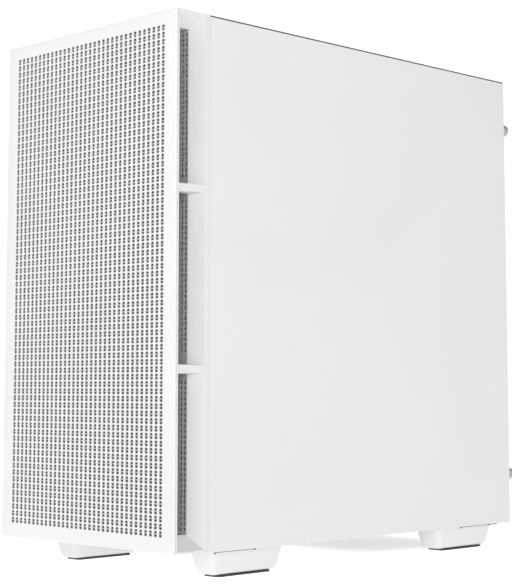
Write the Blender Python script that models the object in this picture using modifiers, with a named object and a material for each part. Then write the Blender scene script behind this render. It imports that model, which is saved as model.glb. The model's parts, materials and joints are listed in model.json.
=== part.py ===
"""Compact desktop computer tower, built the way it comes apart on a bench.

Metres, +Z up. X runs across the case (+X is the plain steel side, -X the glass side), the front
faces -Y, and the origin is on the ground under the middle of the case. The outer skin sets the
driving dimensions; each inner piece takes its place from the wall or board that it is fixed to.
"""

import math

import bmesh
import bpy
from mathutils import Matrix, Vector

# ---- Driving dimensions of the outer skin
WIDTH = 0.215
HEIGHT = 0.4351  # ground to the top filter's upper face
DEPTH = 0.4195  # front plate's face to the side panels' rear flanges, without screw heads
GROUND_CLEARANCE = 0.0222  # ground to the front's lower edge

# ---- Clearances
GAP = 0.0003  # between pieces that touch
FIT = 0.0006  # round a piece that drops into an opening
PLAY = 0.0015  # round a piece that moves past another

# ---- Sheets and walls
STEEL = 0.001
PLATE = 0.0016  # front mesh plate
GLASS = 0.004
MESH = 0.0012  # inner front mesh
FILTER_EDGE = 0.0009  # top filter's thickness where it lies on the side panels
FILTER_RIM = 0.004  # width of its magnetic rim, which reaches down to the roof
VENT_START = 0.024  # first roof vent, back from the chassis's front wall
VENT_MARGIN = 0.003  # that rim's opening reaches past the roof's vents by this much
PANEL_DROP = 0.0011  # the side panels hang this far below the front's lower edge
PANEL_LIP = 0.008  # folded edges of the steel side panel
REAR_FLANGE = 0.015  # folded rear flange that the thumbscrews clamp
GLASS_STOP = 0.0155  # the pane ends this far from the rear flanges
GLASS_EDGE = 0.0005  # polished chamfer round the pane
LEFT_FLANGE = 0.018  # flange of the steel strip behind the pane
BRACKET_LAP = 0.012  # that strip's lip bonded inside the pane
OPENING_CORNER = 0.005
VENT_CORNER = 0.006

# ---- Front bezel
BEZEL_DEPTH = 0.0356  # front plate's face to the side panels' front edges
RIM = 0.0016  # bezel's rim behind the front plate
RIM_WIDTH = 0.0122
SLOT_END = 0.0016  # solid strip above and below the side slots
SLOT_BACK = 0.0302  # side slots' rear edge, back from the front plate's face
MESH_BACK = 0.023  # inner mesh's face, back from the front plate's face
THROAT_INSET = 0.0115  # where the slots' angled rear walls meet the inner mesh
TOP_BEVEL = 0.0102
BOTTOM_BEVEL = 0.0112
RIB = 0.0055
RIB_TAPER = 0.001
RIB_RECESS = 0.008  # each rib's outer face leans in by this much towards the front plate
RIBS = 2
STOP_LIP = 0.003  # ledge behind the inner mesh's edge
STUD_RADIUS = 0.0024  # studs on the chassis that the bezel snaps onto
STUD_LENGTH = 0.005
STUD_INSET = 0.0075  # in from the sides
STUD_END = 0.04  # from the bezel's lower and upper ends

# ---- Buttons and sockets on the bezel's top
IO_BACK = 0.014  # row of sockets, back from the front plate's face
POWER_RADIUS = 0.0057
POWER_INSET = 0.045  # in from the right side
RESET_RADIUS = 0.0028
RESET_INSET = 0.027
BUTTON_EDGE = 0.0004
SOCKET_SINK = 0.0003  # sockets sit this far below the top
USB_SIZE = (0.0134, 0.0062)
USB_C_SIZE = (0.0096, 0.004)
AUDIO_RADIUS = 0.0036
JACK_RADIUS = 0.0018
SOCKET_WALL = 0.0006
SOCKET_FLOOR = 0.0022
TONGUE_SHARE = 0.28  # of the socket's short side
TONGUE_SINK = 0.0012
SOCKET_ROOM = 0.0028  # under the bezel's top round the sockets' tails
SOCKET_RISE = 0.002  # how far that room reaches up into the bezel
IO_PITCH = 0.019
IO_FIRST = -0.03  # first socket, across from the middle

# ---- Feet
FOOT_TOP_INSET = (0.0370, 0.0109)  # inner and outer faces at the top, in from the case's side
FOOT_BOTTOM_INSET = (0.0325, 0.0123)
FOOT_LENGTH = 0.0800
FOOT_SLOPE = 0.0052  # each end leans in by this much
FOOT_FRONT = 0.0471  # front foot's front end, back from the front plate's face
FOOT_REAR = 0.0155  # rear foot's rear end, forward from the rear flanges
FOOT_ROUND = 0.0035
FOOT_SHOULDER = 0.002  # the foot's top stands out this far round the boss above it
FOOT_SLOT = (0.0022, 0.0014)  # hook slot in the top's outer edge, in and down
FOOT_SLOT_LONG = 0.043
FOOT_SLOT_END = 0.004
PAD_THICK = 0.0013
PAD_INSET = 0.0055
PAD_SIDES = (0.002, 0.001)  # the pad's inner and outer margins
PAD_ROUND = 0.003

# ---- Thumbscrews
SCREW_HEAD = 0.0112  # length behind the rear flanges
SCREW_RADIUS = 0.0046
SCREW_SHAFT = 0.0016
SCREW_SHANK = 0.0052  # length in front of the rear flanges
SCREW_INSET = 0.008  # right-hand screws, in from the side
SCREW_END = 0.0439  # from the side panels' lower and upper ends
GLASS_SCREW_INSET = 0.0125
SCREW_EDGE = 0.0006  # chamfer round the head
SCREW_COLLAR = (0.0012, 0.0022)  # plain collar under the grip: how far out and how long

# ---- Fans
FAN = 0.120
FAN_DEEP = 0.025
FAN_WALL = 0.002  # thinnest wall of the square frame round its bore
FAN_SPACE = 0.002  # between stacked fans
FAN_RISE = 0.0036  # lowest front fan above the floor
FAN_CORNER = 0.005
FAN_DOWN = 0.006  # rear fan's frame below the board's top edge
FAN_BESIDE = 0.004  # and between it and the board's connectors
TIP_GAP = 0.0018  # blade tips to the bore
ROTOR_HUB = 0.020
ROTOR_LENGTH = 0.017
ROTOR_START = 0.0035  # rotor's face behind the frame's inlet face
STRUT = (0.002, 0.003)  # half width and depth of the arms that carry the hub
BLADES = 7
BLADE = 0.0015
BLADE_PITCH = math.radians(38)
BLADE_SPREAD = 0.8  # of the room that each blade's root has round the hub
BLADE_REACH = 0.004  # and a blade's chord is longer than that by this much
BLADE_DEPTH = 0.9  # of the hub's length, at most

# ---- Board and what stands on it
BOARD = 0.244
BOARD_THICK = 0.0016
BOARD_INSET = 0.007  # standoffs in from the board's edges
BOARD_REAR_INSET = 0.0345
STANDOFF = 0.0065
STANDOFF_RADIUS = 0.003
BOARD_TO_REAR = 0.0015
BOARD_TO_ROOF = 0.0156
TRAY_SPACE = 0.0202  # cable room between the tray and the right panel
CONNECTOR_WIDTH = 0.044
CONNECTOR_LENGTH = 0.158
CONNECTOR_DEEP = 0.020
CONNECTOR_DOWN = 0.006  # below the board's top edge
SHIELD_LAP = 0.003  # the shield stands out this far round the sockets
SHIELD_STEP = (0.0010, 0.0006)  # and in front of and behind the rear wall
CPU_BACK = 0.095  # processor's centre, forward from the board's rear edge
CPU_DOWN = 0.076  # and down from the board's top edge
COOLER = (0.112, 0.050, 0.120)  # fin block across, deep and high
FINS = 12
FIN = 0.002
COOLER_SPINE = 0.012
COOLER_STAND = 0.038  # fin block's clearance from the board
COOLER_NECK = (0.012, 0.018)  # half its depth and half its height
COOLER_BASE = (0.019, 0.010)  # half its side and its thickness
PROCESSOR = (0.0062, 0.020)  # height with its socket and half its side
MEMORY_SLOT = (0.007, 0.0035)  # height and half its width
MEMORY_SLOT_ENDS = (0.062, 0.072)  # below and above the processor's middle
MEMORY_AHEAD = 0.048  # nearest slot, forward from the processor
MEMORY_PITCH = 0.0094
MEMORY_STICK = (0.032, 0.133, 0.0066)  # tall, long and thick
MEMORY_UP = 0.005  # middle of a stick above the processor's middle
DRIVE = (0.080, 0.022, 0.0035)  # long, wide and its height over the board
DRIVE_AHEAD = 0.042  # its front end, forward from the processor
DRIVE_UP = 0.010  # above the first card slot
CARD_SLOT = (0.0112, 0.0035)  # height and half its width
CARD_SLOT_ENDS = (0.135, 0.046)  # forward from the board's rear edge
LOW_SLOT_UP = 0.0095  # last slot's middle above the board's lower edge
POWER_SOCKET = (0.012, 0.010, 0.052)  # height, width and length
POWER_SOCKET_EDGE = 0.002  # from the board's front edge
POWER_SOCKET_DOWN = 0.003  # its top below the processor's middle
REAR_SINK = (0.020, 0.026, 0.100)  # high, wide and long, behind the processor
REAR_SINK_BACK = 0.026  # from the board's rear edge
TOP_SINK = (0.020, 0.060, 0.011)
TOP_SINK_DOWN = 0.003  # from the board's top edge
CHIPSET = (0.006, 0.045, 0.038)
CHIPSET_CORNER = (0.020, 0.014)  # from the board's front and lower edges
FIRST_SLOT_DOWN = 0.176  # first card slot below the board's top edge
SLOT_PITCH = 0.02032
SLOT_OPEN = (0.104, 0.0145)
SLOT_FROM_BOARD = 0.006
SLOT_COUNT = 4
COVER_LAP = 0.002
CARD = (0.106, 0.238, 0.0365)  # graphics card across, long and thick
CARD_UP = 0.0045  # its back plate above the middle of its slot
CARD_TO_REAR = 0.004
CARD_ROTOR = 0.0415
CARD_HUB = 0.014
CARD_BLADES = 9
CARD_RECESS = 0.012
CARD_ROTOR_PITCH = 0.094

# ---- Openings in the tray and the shroud
BACKPLATE = (0.045, 0.040, 0.040, 0.050)  # forward, down, back and up from the processor
TRAY_SLOT = 0.016  # width of the cable slots beside the board
TRAY_SLOT_BESIDE = 0.008
TRAY_SLOT_END = 0.012
CHAMBER_MARGIN = (0.0435, 0.012, 0.015, 0.020)  # inside the supply's chamber, same order
SHROUD_SLOT = (0.030, 0.004, 0.030)  # left and right of the board's face, and half its length

# ---- Power supply
SUPPLY = (0.150, 0.140, 0.086)
SUPPLY_LEFT = 0.0325  # from the left side to the supply
SUPPLY_WALL = 0.0012
SHROUD_ROOM = 0.0143  # above the supply to the shroud's top
SHROUD_TO_FAN = 0.0043
SHROUD_IN = 0.0065  # shroud's left wall, in from the left side
SUPPLY_LAP = 0.002  # rear wall's edge over the supply
INLET = (0.028, 0.018, 0.022)
INLET_IN = 0.030  # its middle from the supply's left side
INLET_DOWN = 0.026  # and from its top
INLET_WALL = 0.0025
INLET_LIP = 0.0008
PIN_HALF = (0.001, 0.002)
PIN_SINK = 0.005
PINS = ((-0.0065, -0.002), (0, 0.002), (0.0065, -0.002))  # earth pin in the middle
ROCKER_HALF = (0.006, 0.009)
ROCKER_DEEP = 0.0035
ROCKER_RISE = 0.0012
ROCKER_EDGE = (0.0008, 0.001)
ROCKER_BESIDE = 0.034  # from the inlet's middle
ROCKER_SINK = 0.004
ROCKER_TILT = math.radians(8.0)
FILTER_TRAY = 0.0036
FILTER_SIDE = 0.006  # between the tray and the feet
FILTER_AHEAD = 0.020  # the tray starts this far in front of the supply's fan
FILTER_FRAME = 0.006
FILTER_WEB = 0.0008
HANDLE_SIDE = 0.0036  # the handle's ends, in from the feet's outer faces

SIDES = 24  # facets of a full-size round opening

# ---- Levels worked out from the above
FRONT = -(DEPTH + SCREW_HEAD) / 2
BACK = FRONT + DEPTH
RIGHT = WIDTH / 2
LEFT = -WIDTH / 2
TOP = HEIGHT
BASE = GROUND_CLEARANCE
PANEL_TOP = TOP - FILTER_EDGE - GAP
PANEL_BOTTOM = BASE - PANEL_DROP
FLOOR_LOW = PANEL_BOTTOM + STEEL + GAP
FLOOR_TOP = FLOOR_LOW + STEEL
ROOF_TOP = PANEL_TOP - STEEL - GAP
ROOF_LOW = ROOF_TOP - STEEL
FRAME_RIGHT = RIGHT - STEEL - GAP
FRAME_LEFT = LEFT + GLASS + GAP + STEEL + GAP
REAR_OUT = BACK - STEEL - GAP
REAR_IN = REAR_OUT - STEEL
FRAME_FRONT = FRONT + BEZEL_DEPTH + GAP
INNER_FRONT = FRAME_FRONT + STEEL
TRAY_RIGHT = FRAME_RIGHT - TRAY_SPACE + STEEL
TRAY_LEFT = TRAY_RIGHT - STEEL
BOARD_RIGHT = TRAY_LEFT - STANDOFF
BOARD_LEFT = BOARD_RIGHT - BOARD_THICK
BOARD_REAR = REAR_IN - BOARD_TO_REAR
BOARD_FRONT = BOARD_REAR - BOARD
BOARD_TOP = ROOF_LOW - BOARD_TO_ROOF
BOARD_LOW = BOARD_TOP - BOARD
CPU_Y = BOARD_REAR - CPU_BACK
CPU_Z = BOARD_TOP - CPU_DOWN
THROAT = RIGHT - THROAT_INSET
FAN_BORE = FAN / 2 - FAN_WALL
ROTOR_RADIUS = FAN_BORE - TIP_GAP
FAN_PITCH = FAN + FAN_SPACE
FOOT_TOP = [RIGHT - inset for inset in FOOT_TOP_INSET]
FOOT_BOTTOM = [RIGHT - inset for inset in FOOT_BOTTOM_INSET]
FAN_LEVELS = [FLOOR_TOP + FAN_RISE + FAN / 2 + i * FAN_PITCH for i in range(3)]
FIRST_SLOT = BOARD_TOP - FIRST_SLOT_DOWN
SUPPLY_X = LEFT + SUPPLY_LEFT + SUPPLY[0] / 2
SUPPLY_LOW = FLOOR_TOP + GAP
SUPPLY_Y = REAR_IN - GAP - SUPPLY[1] / 2
SHROUD_TOP = SUPPLY_LOW + SUPPLY[2] + SHROUD_ROOM + STEEL
SHROUD_FRONT = INNER_FRONT + GAP + FAN_DEEP + SHROUD_TO_FAN
CARD_TOP = FIRST_SLOT + CARD_UP
CARD_RIGHT = BOARD_LEFT - CARD_SLOT[0] - GAP
CARD_REAR = REAR_IN - CARD_TO_REAR
REAR_FAN_X = BOARD_LEFT - CONNECTOR_WIDTH - FAN_BESIDE - FAN / 2
REAR_FAN_Z = BOARD_TOP - FAN_DOWN - FAN / 2


def fresh_scene():
    for obj in list(bpy.data.objects):
        bpy.data.objects.remove(obj)
    for name in ("desktop_tower", "cutters"):
        bpy.context.scene.collection.children.link(bpy.data.collections.new(name))


def material(name, colour, roughness, metallic=0.0, alpha=1.0):
    found = bpy.data.materials.get(name)
    if found:
        return found
    made = bpy.data.materials.new(name)
    made.use_nodes = True
    shader = made.node_tree.nodes["Principled BSDF"]
    shader.inputs["Base Color"].default_value = (*colour, 1.0)
    shader.inputs["Roughness"].default_value = roughness
    shader.inputs["Metallic"].default_value = metallic
    shader.inputs["Alpha"].default_value = alpha
    return made


WHITE_PAINT = ("white_paint", (0.84, 0.84, 0.84), 0.45)
WHITE_PLASTIC = ("white_plastic", (0.82, 0.82, 0.82), 0.5)
GREY_MESH = ("grey_mesh", (0.42, 0.42, 0.42), 0.6)
RUBBER = ("rubber", (0.05, 0.05, 0.05), 0.85)
DARK_STEEL = ("dark_steel", (0.12, 0.12, 0.12), 0.4, 0.8)
BRIGHT_STEEL = ("bright_steel", (0.62, 0.62, 0.64), 0.3, 1.0)
ALUMINIUM = ("aluminium", (0.72, 0.73, 0.74), 0.35, 1.0)
BLACK_PLASTIC = ("black_plastic", (0.03, 0.03, 0.03), 0.5)
SMOKED_GLASS = ("smoked_glass", (0.25, 0.27, 0.28), 0.05, 0.0, 0.35)
BOARD_LACQUER = ("board_lacquer", (0.03, 0.035, 0.04), 0.5)
SLEEVE = ("cable_sleeve", (0.6, 0.6, 0.6), 0.8)


# ---- Primitives, each added to a bmesh in world coordinates

def add_box(bm, low, high):
    low, high = Vector(low), Vector(high)
    centre = (low + high) / 2
    bmesh.ops.create_cube(bm, size=1, matrix=Matrix.LocRotScale(centre, None, high - low))


def add_cylinder(bm, centre, axis, radius, length, sides=SIDES):
    turn = Vector((0, 0, 1)).rotation_difference(Vector(axis))
    bmesh.ops.create_cone(
        bm,
        cap_ends=True,
        segments=sides,
        radius1=radius,
        radius2=radius,
        depth=length,
        matrix=Matrix.LocRotScale(Vector(centre), turn, None),
    )


def add_frustum(bm, low_ring, high_ring):
    """A solid between two rectangles with the same winding, such as a foot or a slot's throat."""
    made = bmesh.ops.create_cube(bm, size=1)["verts"]
    for vert in made:
        ring = high_ring if vert.co.z > 0 else low_ring
        corner = (1 if vert.co.x > 0 else 0) + (2 if vert.co.y > 0 else 0)
        vert.co = ring[corner]
    faces = {face for vert in made for face in vert.link_faces}
    bmesh.ops.recalc_face_normals(bm, faces=list(faces))


# ---- Objects

def object_of(bm, name, origin=(0, 0, 0), collection="desktop_tower"):
    bmesh.ops.translate(bm, verts=bm.verts, vec=-Vector(origin))
    mesh = bpy.data.meshes.new(name)
    bm.to_mesh(mesh)
    bm.free()
    obj = bpy.data.objects.new(name, mesh)
    obj.location = origin
    bpy.data.collections[collection].objects.link(obj)
    return obj


def solid(name, finish, boxes=(), cylinders=(), origin=(0, 0, 0)):
    """A sub-part that starts as one box or one cylinder, ready for cuts and joins."""
    bm = bmesh.new()
    for low, high in boxes:
        add_box(bm, low, high)
    for cylinder in cylinders:
        add_cylinder(bm, *cylinder)
    obj = object_of(bm, name, origin)
    obj.data.materials.append(material(*finish))
    return obj


def change(obj, operation, boxes=(), cylinders=(), frustums=()):
    """Cuts or joins shapes, which don't touch each other, in one exact Boolean."""
    bm = bmesh.new()
    for low, high in boxes:
        add_box(bm, low, high)
    for cylinder in cylinders:
        add_cylinder(bm, *cylinder)
    for rings in frustums:
        add_frustum(bm, *rings)
    tool = object_of(bm, f"{obj.name}_tool_{len(obj.modifiers)}", collection="cutters")
    tool.hide_render = True
    tool.display_type = "WIRE"
    modifier = obj.modifiers.new(operation.lower(), "BOOLEAN")
    modifier.operation = operation
    modifier.solver = "EXACT"
    modifier.object = tool


def cut(obj, **shapes):
    change(obj, "DIFFERENCE", **shapes)


def join(obj, **shapes):
    change(obj, "UNION", **shapes)


def rectangle(low_u, low_v, high_u, high_v):
    return [(low_u, low_v), (high_u, low_v), (high_u, high_v), (low_u, high_v)]


def rounded(low_u, low_v, high_u, high_v, radius, steps=3):
    """A rectangle's outline with a quarter circle at each corner."""
    centres = [
        (high_u - radius, high_v - radius, 0),
        (low_u + radius, high_v - radius, 90),
        (low_u + radius, low_v + radius, 180),
        (high_u - radius, low_v + radius, 270),
    ]
    points = []
    for u, v, start in centres:
        for i in range(steps + 1):
            angle = math.radians(start + 90 * i / steps)
            points.append((u + radius * math.cos(angle), v + radius * math.sin(angle)))
    return points


def circle(u, v, radius, sides=SIDES):
    turn = 2 * math.pi / sides
    return [(u + radius * math.cos(i * turn), v + radius * math.sin(i * turn)) for i in range(sides)]


TURNS = {
    "XY": (0, 0, 0),  # outline across and back, thickness up
    "XZ": (math.pi / 2, 0, 0),  # outline across and up, thickness forward
    "YZ": (math.pi / 2, 0, math.pi / 2),  # outline back and up, thickness to the right
}


def sheet(name, finish, plane, outlines, low, high):
    """A flat piece of any outline; the outlines after the first are its openings."""
    curve = bpy.data.curves.new(name, "CURVE")
    curve.dimensions = "2D"
    curve.fill_mode = "BOTH"
    curve.extrude = (high - low) / 2
    for outline in outlines:
        spline = curve.splines.new("POLY")
        spline.points.add(len(outline) - 1)
        for point, (u, v) in zip(spline.points, outline):
            point.co = (u, v, 0, 1)
        spline.use_cyclic_u = True
    drawn = bpy.data.objects.new(name, curve)
    middle = (low + high) / 2
    drawn.rotation_euler = TURNS[plane]
    drawn.location = {"XY": (0, 0, middle), "XZ": (0, middle, 0), "YZ": (middle, 0, 0)}[plane]
    obj = mesh_of(drawn)
    obj.data.materials.append(material(*finish))
    return obj


def mesh_of(drawn):
    """Turns a curve object into a mesh object with welded caps, in the parts collection."""
    bpy.context.scene.collection.objects.link(drawn)
    bpy.context.view_layer.update()
    graph = bpy.context.evaluated_depsgraph_get()
    mesh = bpy.data.meshes.new_from_object(drawn.evaluated_get(graph))
    bm = bmesh.new()
    bm.from_mesh(mesh)
    bmesh.ops.remove_doubles(bm, verts=bm.verts, dist=1e-6)
    bmesh.ops.recalc_face_normals(bm, faces=bm.faces)
    bm.to_mesh(mesh)
    bm.free()
    name, matrix = drawn.name, drawn.matrix_world.copy()
    bpy.data.objects.remove(drawn)
    obj = bpy.data.objects.new(name, mesh)
    obj.matrix_world = matrix
    bpy.data.collections["desktop_tower"].objects.link(obj)
    return obj


def turned(name, finish, profile, steps, location, rotation):
    """A solid of revolution about its own Z; the profile runs from the top down, axis to axis."""
    mesh = bpy.data.meshes.new(name)
    edges = [(i, i + 1) for i in range(len(profile) - 1)]
    mesh.from_pydata([(radius, 0, height) for radius, height in profile], edges, [])
    obj = bpy.data.objects.new(name, mesh)
    bpy.data.collections["desktop_tower"].objects.link(obj)
    obj.location = location
    obj.rotation_euler = rotation
    screw = obj.modifiers.new("turn", "SCREW")
    screw.steps = screw.render_steps = steps
    screw.use_merge_vertices = True
    screw.merge_threshold = 1e-6
    obj.data.materials.append(material(*finish))
    return obj


def bevel(obj, width, segments=1):
    made = obj.modifiers.new("edge", "BEVEL")
    made.width = width
    made.segments = segments
    made.limit_method = "ANGLE"
    made.angle_limit = math.radians(50)


# ---- Front

def slot_bands():
    """Lowest and highest point of each side slot, between the ribs."""
    low, high = BASE + SLOT_END, TOP - SLOT_END
    clear = (high - low - RIBS * RIB) / (RIBS + 1)
    return [(low + i * (clear + RIB), low + i * (clear + RIB) + clear) for i in range(RIBS + 1)]


def slot_throat(side, low, high, low_bevel, high_bevel):
    """The funnel from one side slot to the space in front of the inner mesh."""
    over = 0.25  # the cut runs past both of its ends by this share of its length

    def at(share):
        x = RIGHT - share * THROAT_INSET
        y = FRONT + SLOT_BACK - share * (SLOT_BACK - MESH_BACK)
        z = (low + share * low_bevel, high - share * high_bevel)
        front = FRONT + PLATE + GAP + RIM
        ring = [(x, front, z[0]), (x, y, z[0]), (x, front, z[1]), (x, y, z[1])]
        return [Vector((side * px, py, pz)) for px, py, pz in ring]

    return at(1 + over), at(-over)


def rib_recess(side, low, high):
    """The wedge cut from a rib's outer face, between two heights."""
    front, back = FRONT + PLATE + GAP + RIM, FRONT + SLOT_BACK

    def at(z):
        outline = [(RIGHT - RIB_RECESS, front), (RIGHT + PLAY, front), (RIGHT, back), (RIGHT + PLAY, back)]
        return [Vector((side * x, y, z)) for x, y in outline]

    return at(low - RIB), at(high + RIB)


def front_mesh_plate():
    solid("front_mesh_plate", WHITE_PAINT, [((LEFT, FRONT, BASE), (RIGHT, FRONT + PLATE, TOP))])


def front_bezel():
    rim = FRONT + PLATE + GAP
    back = FRONT + BEZEL_DEPTH
    bezel = solid("front_bezel", WHITE_PLASTIC, [((LEFT, rim, BASE), (RIGHT, back, TOP))])
    duct_low, duct_high = duct_levels()
    mesh_rear = FRONT + MESH_BACK + MESH + GAP
    cut(bezel, boxes=[((-THROAT, rim + RIM + GAP, duct_low), (THROAT, mesh_rear, duct_high))])
    ledge = STOP_LIP
    cut(bezel, boxes=[(
        (-THROAT + ledge, mesh_rear - GAP, duct_low + ledge),
        (THROAT - ledge, back + PLAY, duct_high - ledge),
    )])
    edge = RIGHT - RIM_WIDTH
    cut(bezel, boxes=[((-edge, rim - PLAY, duct_low - PLAY), (edge, rim + RIM + PLAY, duct_high + PLAY))])
    bands = slot_bands()
    throats = []
    for i, (low, high) in enumerate(bands):
        low_bevel = BOTTOM_BEVEL if i == 0 else -RIB_TAPER
        high_bevel = TOP_BEVEL if i == len(bands) - 1 else -RIB_TAPER
        for side in (-1, 1):
            throats.append(slot_throat(side, low, high, abs(low_bevel), abs(high_bevel)))
    cut(bezel, frustums=throats)
    ribs = [(first[1], second[0]) for first, second in zip(bands, bands[1:])]
    cut(bezel, frustums=[rib_recess(side, *rib) for rib in ribs for side in (-1, 1)])
    cut(bezel, boxes=[io_pocket()], cylinders=button_wells())
    cut(bezel, boxes=socket_openings(), cylinders=[audio_opening()])
    depth = 2 * (STUD_LENGTH + FIT)
    cut(bezel, cylinders=[
        ((x, back, z), (0, 1, 0), STUD_RADIUS + FIT, depth, 10) for x, z in stud_places()
    ])


def duct_levels():
    """Floor and ceiling of the space behind the front plate, just past the funnels' inner ends."""
    return BASE + SLOT_END + BOTTOM_BEVEL - GAP, TOP - SLOT_END - TOP_BEVEL + GAP


def stud_places():
    x = RIGHT - STUD_INSET
    return [(side * x, z) for side in (-1, 1) for z in (BASE + STUD_END, TOP - STUD_END)]


def io_pocket():
    """Room under the bezel's top for the sockets' tails."""
    duct_top = duct_levels()[1]
    y = FRONT + IO_BACK
    reach = abs(IO_FIRST) + USB_SIZE[0]
    half = USB_SIZE[1] / 2 + SOCKET_ROOM
    return ((-reach, y - half, duct_top - PLAY), (reach, y + half, duct_top + SOCKET_RISE))


def button_places():
    y = FRONT + IO_BACK
    return [(RIGHT - POWER_INSET, y, POWER_RADIUS), (RIGHT - RESET_INSET, y, RESET_RADIUS)]


def button_wells():
    low = duct_levels()[1] - PLAY
    high = TOP + PLAY
    return [
        ((x, y, (low + high) / 2), (0, 0, 1), radius + FIT, high - low, 24)
        for x, y, radius in button_places()
    ]


def socket_places():
    """Centre and size of the two USB sockets and the USB-C socket."""
    sizes = [USB_SIZE, USB_SIZE, USB_C_SIZE]
    return [(IO_FIRST + i * IO_PITCH, size) for i, size in enumerate(sizes)]


def socket_openings():
    low = duct_levels()[1]
    openings = []
    for x, (long, short) in socket_places():
        reach = Vector((long / 2 + GAP, short / 2 + GAP, 0))
        middle = Vector((x, FRONT + IO_BACK, 0))
        openings.append((
            middle - reach + Vector((0, 0, low)),
            middle + reach + Vector((0, 0, TOP + PLAY)),
        ))
    return openings


def audio_opening():
    low = duct_levels()[1]
    centre = (IO_FIRST + 3 * IO_PITCH, FRONT + IO_BACK, (low + TOP + PLAY) / 2)
    return centre, (0, 0, 1), AUDIO_RADIUS + GAP, TOP + PLAY - low, 20


def front_inner_mesh():
    low, high = duct_levels()
    solid("front_inner_mesh", GREY_MESH, [(
        (-THROAT + GAP, FRONT + MESH_BACK, low + GAP),
        (THROAT - GAP, FRONT + MESH_BACK + MESH, high - GAP),
    )])


def buttons():
    low = duct_levels()[1] + SOCKET_RISE
    high = TOP - SOCKET_SINK
    for name, (x, y, radius) in zip(("power_button", "reset_button"), button_places()):
        centre = (x, y, (low + high) / 2)
        button = solid(
            name, WHITE_PLASTIC, cylinders=[(centre, (0, 0, 1), radius, high - low, 24)], origin=centre
        )
        bevel(button, BUTTON_EDGE)


def sockets():
    """Open shells with a tongue inside, standing up through the bezel's top."""
    low = duct_levels()[1] + GAP
    high = TOP - SOCKET_SINK
    for name, (x, (long, short)) in zip(("usb_socket_1", "usb_socket_2", "usb_c_socket"), socket_places()):
        y = FRONT + IO_BACK
        shell = solid(name, BRIGHT_STEEL, [(
            (x - long / 2, y - short / 2, low), (x + long / 2, y + short / 2, high)
        )])
        wall = SOCKET_WALL
        cut(shell, boxes=[(
            (x - long / 2 + wall, y - short / 2 + wall, low + SOCKET_FLOOR),
            (x + long / 2 - wall, y + short / 2 - wall, high + PLAY),
        )])
        tongue = short * TONGUE_SHARE / 2
        join(shell, boxes=[(
            (x - long / 2 + 3 * wall, y - tongue, low + SOCKET_FLOOR / 2),
            (x + long / 2 - 3 * wall, y + tongue, high - TONGUE_SINK),
        )])
    centre = (IO_FIRST + 3 * IO_PITCH, FRONT + IO_BACK, (low + high) / 2)
    jack = solid("audio_socket", BLACK_PLASTIC, cylinders=[(centre, (0, 0, 1), AUDIO_RADIUS, high - low, 20)])
    bore = (centre[0], centre[1], high + SOCKET_FLOOR)
    cut(jack, cylinders=[(bore, (0, 0, 1), JACK_RADIUS, 2 * (high - low), 12)])


# ---- Chassis

def fan_circles(x, levels):
    return [circle(x, z, FAN_BORE - STEEL) for z in levels]


def chassis_front():
    outline = rectangle(FRAME_LEFT, FLOOR_LOW, FRAME_RIGHT, ROOF_TOP)
    wall = sheet("chassis_front", WHITE_PAINT, "XZ",
                 [outline, *fan_circles(0, FAN_LEVELS)], FRAME_FRONT, INNER_FRONT)
    length = STUD_LENGTH + STEEL / 2
    middle = FRAME_FRONT - STUD_LENGTH / 2 + STEEL / 4
    join(wall, cylinders=[
        ((x, middle, z), (0, 1, 0), STUD_RADIUS, length, 10) for x, z in stud_places()
    ])


def chassis_floor():
    outline = rectangle(FRAME_LEFT, INNER_FRONT + GAP, FRAME_RIGHT, REAR_IN - GAP)
    half = FAN / 2
    vent = rounded(SUPPLY_X - half, SUPPLY_Y - half, SUPPLY_X + half, SUPPLY_Y + half, VENT_CORNER)
    sheet("chassis_floor", WHITE_PAINT, "XY", [outline, vent], FLOOR_LOW, FLOOR_TOP)


def roof_vents():
    """Two openings for 120 mm fans, one behind the other."""
    start = INNER_FRONT + VENT_START
    half = FAN / 2 - FAN_WALL
    return [(-half, start + i * FAN_PITCH, half, start + i * FAN_PITCH + 2 * half) for i in range(2)]


def chassis_roof():
    outline = rectangle(FRAME_LEFT, INNER_FRONT + GAP, FRAME_RIGHT, REAR_IN - GAP)
    vents = [rounded(*vent, VENT_CORNER) for vent in roof_vents()]
    sheet("chassis_roof", WHITE_PAINT, "XY", [outline, *vents], ROOF_LOW, ROOF_TOP)


def supply_cutout():
    edge = SUPPLY_LAP
    return (
        SUPPLY_X - SUPPLY[0] / 2 + edge, SUPPLY_LOW + edge,
        SUPPLY_X + SUPPLY[0] / 2 - edge, SUPPLY_LOW + SUPPLY[2] - edge,
    )


def connector_cutout():
    right = BOARD_RIGHT + STEEL / 2
    high = BOARD_TOP - CONNECTOR_DOWN
    return right - CONNECTOR_WIDTH, high - CONNECTOR_LENGTH, right, high


def slot_openings():
    right = BOARD_LEFT - SLOT_FROM_BOARD
    half = SLOT_OPEN[1] / 2
    levels = [FIRST_SLOT - i * SLOT_PITCH for i in range(SLOT_COUNT)]
    pair = (right - SLOT_OPEN[0], levels[1] - half, right, levels[0] + half)
    singles = [(right - SLOT_OPEN[0], z - half, right, z + half) for z in levels[2:]]
    return [pair, *singles]


def screw_places():
    """Two screws on each side: name, across and up."""
    right, left = RIGHT - SCREW_INSET, LEFT + GLASS_SCREW_INSET
    low, high = PANEL_BOTTOM + SCREW_END, PANEL_TOP - SCREW_END
    return [
        ("thumbscrew_right_low", right, low),
        ("thumbscrew_right_high", right, high),
        ("thumbscrew_left_low", left, low),
        ("thumbscrew_left_high", left, high),
    ]


def screw_holes(side):
    return [circle(x, z, SCREW_SHAFT + FIT, 12) for _, x, z in screw_places() if x * side > 0]


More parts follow.
